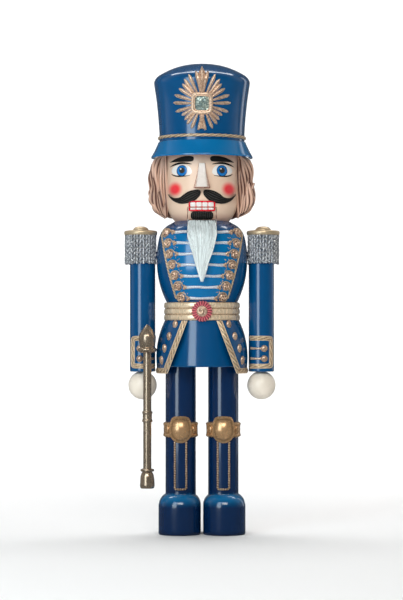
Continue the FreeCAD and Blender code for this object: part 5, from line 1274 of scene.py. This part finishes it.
# stone: a domed square whose rings are shifted at random, shaded flat so that each facet shows
def makeGem():
    rings, steps = 7, 26
    outline = circleOutline(0, badge["z"], badge["gem"], steps=steps, square=4.0)
    jitter = seed.uniform(-0.42, 0.42, (rings, steps))
    jitter[-1] = 0
    return patch(outline, badge["gemRise"], crownRadius, power=3.0, rings=rings, edge=0.6,
                 shift=jitter)


makePiece("hat_crown_piece", [turned(crownShape, steps=176)], "figure", "lacquer_blue", lacquerBlue,
          ["hat_crown"], 50)
makePiece("hat_visor_piece", [makeVisor()], "figure", "lacquer_bright", lacquerBright,
          ["hat_visor"], 50)
angle = np.linspace(0, 2 * math.pi, 480, endpoint=False)
bandPath = np.stack([hatBand["radius"] * np.sin(angle), -hatBand["radius"] * np.cos(angle),
                     hatBand["height"] + 0 * angle], 1)
bandPitch = 2 * math.pi * hatBand["radius"] / hatBand["twists"]
makePiece("hat_band_piece", [tube(bandPath, hatBand["cord"], bandPath * [1, 1, 0], sides=12,
                                  flat=0.75, strands=3, pitch=bandPitch, lobe=0.5, closed=True,
                                  caps=False)],
          "figure", "gold_rope", goldRope, ["hat_band"], 75)
makePiece("badge_rays_piece", makeRays(), "figure", "gold_cast", goldCast, ["badge_rays"], 60)
makePiece("badge_frame_piece", makeBadgeFrame(), "figure", "gold_cast", goldCast, ["badge_frame"],
          60)
makePiece("badge_gem_piece", [makeGem()], "figure", "stone", stone, ["badge_gem"], 4)
print("hat made")


# arms, epaulettes, cuffs and hands

arms = {"offset": 48.2, "radius": 10.3, "foot": 130.7, "top": 241.5, "hand": 119.7,
        "handRadius": 11.5}
epaulette = {"offset": 49.7, "cords": 30, "ring": 11.95, "cord": 1.3, "top": 241.6, "foot": 217.4,
             "clear": 37.95}
cuff = {"foot": 133.4, "top": 159.6, "width": 3.7, "outer": 9.0, "inner": -9.3,
        "bars": (141.3, 149.5), "button": 1.6}


def armRadius(z):
    return arms["radius"] + 0 * z


def epauletteTop(way):
    shape = softProfile([(11.6, 241.3), (13.2, 241.5, 0.4), (13.5, 243.4, 0.5, 0.15),
                         (13.0, 244.8, 0.6, 0.1), (7.0, 245.5), (0.6, 245.5)])
    return turned(shape, x=way * epaulette["offset"], steps=96)


def epauletteButton(way):
    shape = softProfile([(6.5, 245.0), (6.3, 246.0, 0.5, 0.3), (3.6, 248.2, 0.8, 0.1),
                         (0.4, 248.5)])
    return turned(shape, x=way * epaulette["offset"], steps=64)


# cords hung in a ring round the arm, left out where the torso is too near
def makeFringe(way):
    e = epaulette
    parts = []
    for number in range(e["cords"]):
        turn = 2 * math.pi * number / e["cords"]
        x, y = way * e["offset"] + e["ring"] * math.sin(turn), -e["ring"] * math.cos(turn)
        if math.hypot(x, y) < e["clear"]:
            continue
        foot = e["foot"] + seed.uniform(0, 0.9)
        z = np.arange(e["top"], foot, -0.36)
        sway = 0.1 * (np.sin(z * 0.5 + number) - 1)
        path = np.stack([x + way * sway, y + 0 * z, z], 1)
        grow = np.clip((z - foot) * 1.2 + 0.45, 0.3, 1)
        parts.append(tube(path, e["cord"], (math.sin(turn), -math.cos(turn), 0), sides=9, strands=2,
                          pitch=3.6 * (1 if number % 2 else -1), lobe=0.4, grow=grow,
                          shade=seed.uniform(0.1, 0.9)))
    return parts


def cuffLine(points, way):
    # points in (outward from the arm's axis, height), laid on the front of the arm
    line = evenly(np.array(points, float), 0.4)
    return laidOn(line[:, 0] * way, line[:, 1], armRadius, 0.0, (way * arms["offset"], 0))


def cuffFrame(way):
    c = cuff
    half = c["width"] / 2
    outer, low, high = c["outer"] - half * 0.75, c["foot"] + half, c["top"] - half
    route = [(c["inner"], low), (outer - 2.2, low), (outer - 0.6, low + 0.6), (outer, low + 2.2),
             (outer, high - 2.2), (outer - 0.6, high - 0.6), (outer - 2.2, high),
             (c["inner"], high)]
    path = cuffLine(softened(route, 2), way)
    away = path - [way * arms["offset"], 0, 0]
    parts = [tube(path, half * 0.8, away * [1, 1, 0], sides=12, flat=0.62, strands=3, pitch=6.4,
                  lobe=0.5)]
    for shift in (-1, 1):
        inset = shift * (half - 0.25)
        edge = outer + inset * 0.9
        route = [(c["inner"], low - inset), (outer - 2.2, low - inset),
                 (edge - 0.6, low + 0.6 - inset), (edge, low + 2.2), (edge, high - 2.2),
                 (edge - 0.6, high - 0.6 + inset), (outer - 2.2, high + inset),
                 (c["inner"], high + inset)]
        path = cuffLine(softened(route, 2), way)
        parts.append(tube(path, 0.42, (path - [way * arms["offset"], 0, 0]) * [1, 1, 0], sides=7,
                          flat=1.2))
    return parts


def cuffPanel(way):
    c = cuff
    z = np.linspace(c["foot"] + c["width"], c["top"] - c["width"], 30)
    right = c["outer"] - c["width"] * 0.8
    middle = (c["inner"] + right) / 2 * way
    return strip(np.stack([0 * z + middle, z], 1), (right - c["inner"]) / 2, 0.35, armRadius,
                 (way * arms["offset"], 0), crown=0.0, across=31, endDrop=False)


def cuffBars(way):
    parts = []
    for z in cuff["bars"]:
        x = np.linspace(cuff["inner"], cuff["button"], 26)
        wide = 0.95 + 0.18 * np.cos((x - cuff["inner"]) * 0.55)
        parts.append(strip(np.stack([x * way, z + 0 * x], 1), wide, 1.35, armRadius,
                           (way * arms["offset"], 0), crown=0.7))
    return parts


def cuffButtons(way):
    parts = []
    for z in cuff["bars"]:
        x = cuff["button"] + 0.4
        y = -math.sqrt(arms["radius"] ** 2 - x ** 2)
        parts.append(dome((way * (arms["offset"] + x), y, z), (way * x, y, 0), 2.8, 2.8, 2.3,
                          power=2.2, rings=12, sides=32,
                          wave=lambda a, t: -0.05 * np.exp(-((t - 0.8) / 0.07) ** 2)))
    return parts


for label, way in (("left", 1), ("right", -1)):
    shape = softProfile([(9.6, arms["foot"]), (arms["radius"], arms["foot"] + 0.6, 0.4),
                         (arms["radius"], arms["top"])])
    makePiece("arm_" + label + "_piece", [turned(shape, x=way * arms["offset"], steps=96)],
              "figure", "lacquer_blue", lacquerBlue, ["arm_" + label])
    makePiece("epaulette_board_" + label + "_piece", [epauletteTop(way)], "figure",
              "epaulette_gold", epauletteGold, ["epaulette_board_" + label], 50)
    makePiece("epaulette_fringe_" + label + "_piece", makeFringe(way), "figure", "silver_cord",
              silverCord, ["epaulette_fringe_" + label], 80)
    t = np.linspace(-0.498, 0.47, 48) * math.pi
    ball = np.stack([arms["handRadius"] * np.cos(t),
                     arms["hand"] + arms["handRadius"] * np.sin(t)], 1)
    makePiece("hand_" + label + "_piece", [turned(ball, x=way * arms["offset"], steps=72)],
              "figure", "ivory", ivory, ["hand_" + label])
makePiece("epaulette_buttons_piece", bothSides(epauletteButton), "figure",
          "epaulette_gold", epauletteGold, ["epaulette_buttons"], 50)
makePiece("cuff_panels_piece", bothSides(cuffPanel), "figure", "lacquer_bright", lacquerBlue,
          ["cuff_panels"])
makePiece("cuff_braids_piece", cuffFrame(-1) + cuffFrame(1), "figure", "gold_rope", goldRope,
          ["cuff_braids"], 75)
makePiece("cuff_bars_piece", cuffBars(-1) + cuffBars(1), "figure", "gold_cast", goldCast,
          ["cuff_bars"], 60)
makePiece("cuff_buttons_piece", cuffButtons(-1) + cuffButtons(1), "figure", "gold_cast", goldCast,
          ["cuff_buttons"], 60)
print("arms made")


# staff

staff = {"x": -43.9, "y": -21.0}
shaftShape = softProfile([(3.3, 52.8), (3.3, 90.4, 0.3), (4.2, 90.7, 0.3), (4.2, 92.2, 0.3),
                          (3.7, 92.7, 0.3), (3.7, 97.0, 0.3), (4.2, 97.5, 0.3), (4.2, 99.0, 0.3),
                          (3.3, 99.2, 0.3), (3.3, 146.4)])
finialShape = softProfile([(5.6, 146.2), (7.4, 147.4, 1.0, 0.3), (7.2, 149.8, 0.8),
                           (5.7, 150.4, 0.3, 0.4), (6.9, 159.0, 0.3), (6.75, 160.2, 0.6, 0.5),
                           (1.2, 168.1, 0.5), (0.3, 168.9)], 0.4)
ferruleShape = softProfile([(5.0, 37.3), (5.5, 37.7, 0.3), (5.9, 39.5, 0.6), (5.5, 46.7, 1, 0.2),
                            (3.9, 50.6, 0.3), (5.2, 50.9, 0.4, 0.3), (5.2, 52.9, 0.4),
                            (3.4, 53.1)], 0.4)


def budWave(angle, z):
    # four petals that meet at the tip, with a thin seam between them
    rise = np.clip((z - 150.5) / 4, 0, 1) * np.clip((168.5 - z) / 6, 0, 1)
    return -0.08 * rise * np.exp(-(np.abs(np.sin(2 * angle)) / 0.2) ** 2)


makePiece("staff_shaft_piece", [turned(shaftShape, staff["x"], staff["y"], 48)], "figure",
          "antique_brass", staffBrass, ["staff_shaft"], 50)
makePiece("staff_finial_piece", [turned(finialShape, staff["x"], staff["y"], 96, budWave)],
          "figure", "antique_brass", staffBrass, ["staff_finial"], 50)
makePiece("staff_ferrule_piece", [turned(ferruleShape, staff["x"], staff["y"], 64)], "figure",
          "antique_brass", staffBrass, ["staff_ferrule"], 50)
print("staff made")


# jaw: lever, chin and mouth, which ride on the jaw, and the beard, whose pieces are left without a
# body

jaw = {"half": 11.25, "face": -19.0, "low": 252.9, "top": 262.4}
beard = {"strands": 420, "top": 252.2, "tip": 202.6, "radius": 0.62, "frontShare": 0.72,
         "depth": 0.66, "startSpread": 20, "endSpread": 34}


# the front of the chin lies on the head's surface, eased in at its side edges, and its back is flat
def makeChin():
    z = np.linspace(jaw["low"], jaw["top"], 16)
    x = np.linspace(-jaw["half"], jaw["half"], 33)
    xx, zz = np.meshgrid(x, z)
    ease = 0.35 * (np.clip(np.abs(xx) - jaw["half"] + 0.5, 0, 1) ** 2) * 4
    front = laidOn(xx, zz, headRadius, -ease)
    back = np.stack([xx[:, ::-1], np.full_like(xx, jaw["face"]), zz], 2)
    return gridPart(np.concatenate([front, back], 1))


def makeGoatee():
    z = np.linspace(253.1, 259.3, 26)
    t = (z - 256.2) / 3.1
    wide = 9.1 * (1 - np.abs(t) ** 3.2 * 0.2)
    lift = 2.25 * (1 - 0.6 * np.abs(t) ** 4)
    return strip(np.stack([0 * z, z], 1), wide, lift, headRadius, crown=0.35, across=101,
                 groove=lambda c, s: 0.26 * (0.5 + 0.5 * np.cos(12 * math.pi * c)) ** 5,
                 endDrop=False)


# middle of the beard as rows of (height, y, thickness), and its half width as rows of (height,
# half width)
beardLine = np.array([[252.3, -26.6, 2.6], [249, -29.6, 2.5], [246, -33.2, 2.3], [243, -36.6, 2.2],
                      [238, -40.0, 2.2], [230, -42.0, 2.1], [216, -41.7, 1.7], [202.5, -40.0, 0.5]])
beardWide = np.array([[252.3, 10.6], [247, 11.2], [240, 11.2], [227.4, 8.3], [214, 4.4],
                      [202.5, 0.9]])


# strands start side by side under the chin, hang at a share of the beard's width and depth, sway a
# little, and gather at the tip
def beardPoint(z, across, depth):
    order = np.argsort(beardLine[:, 0])
    y = np.interp(z, beardLine[order, 0], beardLine[order, 1])
    thick = np.interp(z, beardLine[order, 0], beardLine[order, 2])
    wide = np.interp(z, beardWide[::-1, 0], beardWide[::-1, 1])
    bulge = np.sqrt(np.clip(1 - across ** 2, 0.02, 1))
    return np.stack([across * wide, y - depth * thick * bulge, z + 0 * y], -1)


def makeBeardBase():
    z = np.linspace(beard["top"], beard["tip"] + 4, 40)
    turn = np.linspace(0, 2 * math.pi, 48, endpoint=False)[None, :]
    points = beardPoint(z[:, None] + 0 * turn, np.cos(turn) * 0.9 + 0 * z[:, None],
                        np.sign(np.sin(turn)) * 0.72 * np.abs(np.sin(turn)) ** 0.6 + 0 * z[:, None])
    # tone 0.1 paints the base in the beard's dark colour, as shade among the strands
    return gridPart(points, tone=0.1 + 0 * points[:, :, 0])


def makeStrands():
    parts = []
    for number in range(beard["strands"]):
        across = seed.uniform(-0.97, 0.97)
        depth = beard["depth"] if seed.random() < beard["frontShare"] else -beard["depth"]
        start = beard["top"] - seed.uniform(0, 1) ** 2 * beard["startSpread"]
        reach = seed.uniform(0.45, 1.0) ** 0.6
        end = beard["tip"] + (1 - reach) * beard["endSpread"]
        s = np.linspace(0, 1, 15)
        z = start + (end - start) * s
        phase = 1.2 * across + seed.normal(0, 0.35)
        sway = 0.16 * np.sin(5.2 * s + phase) + 0.06 * np.sin(11 * s + 2 * phase)
        path = beardPoint(z, np.clip(across + sway * np.sin(math.pi * s * 0.9), -1, 1),
                          depth * (1 + 0.12 * np.sin(7 * s + number)))
        grow = np.clip(0.55 + 2.5 * s, 0, 1) * np.clip((1.03 - s) * 2.4, 0.08, 1)
        parts.append(tube(path, beard["radius"] * seed.uniform(0.7, 1.25), (0, -1, 0.15), sides=4,
                          grow=grow, shade=seed.uniform(0, 1)))
    return parts


lever = board("jaw_lever_piece", [(-19, 252.9), (-9.5, 250.3), (4, 249), (38.3, 249), (38.3, 150),
                                  (44.3, 150), (44.3, 258.4), (19.15, 262.4), (-19, 262.4)],
              jaw["half"])
recalculated(lever.data)
edge = lever.modifiers.new("edges", "BEVEL")
edge.width = 0.9 * mm
edge.segments = 4
edge.limit_method = "ANGLE"
edge.angle_limit = math.radians(20)
lever.data.polygons.foreach_set("use_smooth", np.ones(len(lever.data.polygons), bool))
place(lever, "jaw", "bare_wood", woodBlue, ["jaw_lever"])
makePiece("chin_piece", [makeChin()], "jaw", "skin", skinPaint, ["chin_plate"], 50)
makePiece("lower_lip_piece", [lipPart(face["mouthFoot"] + face["lip"] / 2, 262.4),
                              gumPart(260.4, 262.4)], "jaw", "lip_red", lipRed, ["lower_lip"], 60)
makePiece("lower_teeth_piece", teethParts(260.65, 262.3), "jaw", "tooth_white", toothWhite,
          ["lower_teeth"], 60)
makePiece("goatee_piece", [makeGoatee()], "jaw", "hair_black", hairBlack, ["goatee"], 70)
beardBase = makePiece("beard_base", [makeBeardBase()], "", "beard_hair", beardHair)
beardPiece = makePiece("beard_strands", makeStrands(), "", "beard_hair", beardHair, ["beard"], 80)
for piece in (beardBase, beardPiece):
    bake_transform(piece)
bpy.data.objects.remove(slotCut)
print("jaw made")


# finishes for the CAD nodes that stay

for nodeName, material in (("shoulder_pegs", woodBlue), ("staff_peg", ivory),
                           ("pivot_pin", pinSteel)):
    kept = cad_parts[nodeName]
    kept.data.materials.clear()
    kept.data.materials.append(material)


# floor, light and camera

view = {"distance": 1.881, "height": 0.162, "lens": 139.0, "shiftX": -0.0008, "shiftY": 0.055}
backdrop = {"front": -4.0, "bend": 1.2, "bendRadius": 1.0, "half": 5.0,
            "mirrorColour": (0.8, 0.9, 1.0, 1), "mirrorStrength": 0.12}
room = {"front": 0.05, "behind": 0.5}
# each light is its place, what it points at, its width and height, its power and its colour
lights = {"softboxLeft": ((-0.62, -1.1, 0.32), (0, 0, 0.22), (0.5, 1.7), 11.5, (0.82, 0.94, 1.0)),
          "keyFront": ((0.1, -1.9, 1.3), (0, 0, 0.2), (1.1, 0.7), 17.5, (1.0, 0.95, 0.88)),
          "rimRight": ((0.95, 0.75, 0.35), (0, 0, 0.2), (0.22, 1.4), 1.2, (1, 1, 1)),
          "wallWash": ((0, 1.0, 2.4), (0, 2.2, 0.8), (3.0, 1.0), 60, (1, 1, 1))}


def makeBackdrop():
    # floor that curves up into a wall behind: a quarter circle between two straight runs
    turn = np.radians(np.linspace(0, 90, 24))
    bend, radius = backdrop["bend"], backdrop["bendRadius"]
    y = np.concatenate([[backdrop["front"], bend / 2], bend + radius * np.sin(turn),
                        [bend + radius]])
    z = np.concatenate([[0.0, 0.0], radius - radius * np.cos(turn), [backdrop["half"]]])
    x = np.linspace(-backdrop["half"], backdrop["half"], 9)
    points = np.stack([np.broadcast_to(x, (len(y), 9)), np.broadcast_to(y[:, None], (len(y), 9)),
                       np.broadcast_to(z[:, None], (len(y), 9))], 2)
    mesh = bpy.data.meshes.new("backdrop")
    rows, cols = points.shape[:2]
    i, j = np.meshgrid(np.arange(rows - 1), np.arange(cols - 1), indexing="ij")
    i, j = i.ravel(), j.ravel()
    faces = np.stack([i * cols + j, i * cols + j + 1, (i + 1) * cols + j + 1, (i + 1) * cols + j],
                     1)
    mesh.from_pydata(points.reshape(-1, 3).tolist(), [], faces.tolist())
    mesh.polygons.foreach_set("use_smooth", np.ones(len(faces), bool))
    piece = bpy.data.objects.new("backdrop", mesh)
    bpy.context.scene.collection.objects.link(piece)
    material = bpy.data.materials.new("paleBackdrop")
    material.use_nodes = True
    tree = material.node_tree
    shader = tree.nodes["Principled BSDF"]
    noise = addNode(tree, "TexNoise", {"Scale": 3.0})
    tint = blendColour(tree, noise.outputs[0], (0.93, 0.93, 0.93, 1), (0.96, 0.96, 0.96, 1))
    tree.links.new(tint, shader.inputs["Base Color"])
    shader.inputs["Roughness"].default_value = 0.9
    shader.inputs["Specular IOR Level"].default_value = 0.1
    # the lacquer mirrors a dimmer room than the one that is seen
    mirrored = addNode(tree, "LightPath").outputs["Is Glossy Ray"]
    dim = addNode(tree, "Emission", {"Color": backdrop["mirrorColour"],
                                    "Strength": backdrop["mirrorStrength"]})
    mixed = addNode(tree, "MixShader", {0: mirrored, 1: shader.outputs[0], 2: dim.outputs[0]})
    tree.links.new(mixed.outputs[0], tree.nodes["Material Output"].inputs["Surface"])
    mesh.materials.append(material)


def addLight(name, spot, aim, size, energy, colour):
    lamp = bpy.data.lights.new(name, "AREA")
    lamp.shape = "RECTANGLE"
    lamp.size, lamp.size_y = size
    lamp.energy = energy
    lamp.color = colour
    piece = bpy.data.objects.new(name, lamp)
    bpy.context.scene.collection.objects.link(piece)
    piece.location = spot
    piece.rotation_euler = (Vector(aim) - Vector(spot)).to_track_quat("-Z", "Y").to_euler()


makeBackdrop()
world = bpy.data.worlds.new("studio")
bpy.context.scene.world = world
world.use_nodes = True
# darker in front of the figure, where its lacquer mirrors the room, and bright behind it
tree = world.node_tree
where = addNode(tree, "TexCoord").outputs["Generated"]
back = addNode(tree, "SeparateXYZ", {0: where})
level = addNode(tree, "MapRange", {0: back.outputs[1], 1: -0.5, 2: 0.6, 3: room["front"],
                                   4: room["behind"]}, interpolation_type="SMOOTHSTEP")
shine = addNode(tree, "CombineColor", {0: level.outputs[0], 1: level.outputs[0],
                                       2: level.outputs[0]})
tree.links.new(shine.outputs[0], tree.nodes["Background"].inputs["Color"])
tree.nodes["Background"].inputs["Strength"].default_value = 1.0
for name, settings in lights.items():
    addLight(name, *settings)

camera = bpy.data.cameras.new("camera")
camera.lens = view["lens"]
camera.sensor_width = 36
camera.sensor_fit = "AUTO"
camera.shift_x, camera.shift_y = view["shiftX"], view["shiftY"]
camera.clip_start, camera.clip_end = 0.05, 50
cameraPiece = bpy.data.objects.new("camera", camera)
cameraPiece.location = (0, -view["distance"], view["height"])
cameraPiece.rotation_euler = (math.radians(90), 0, 0)
bpy.context.scene.collection.objects.link(cameraPiece)
bpy.context.scene.camera = cameraPiece
bpy.context.scene.view_settings.view_transform = "Standard"
print("light and camera set")
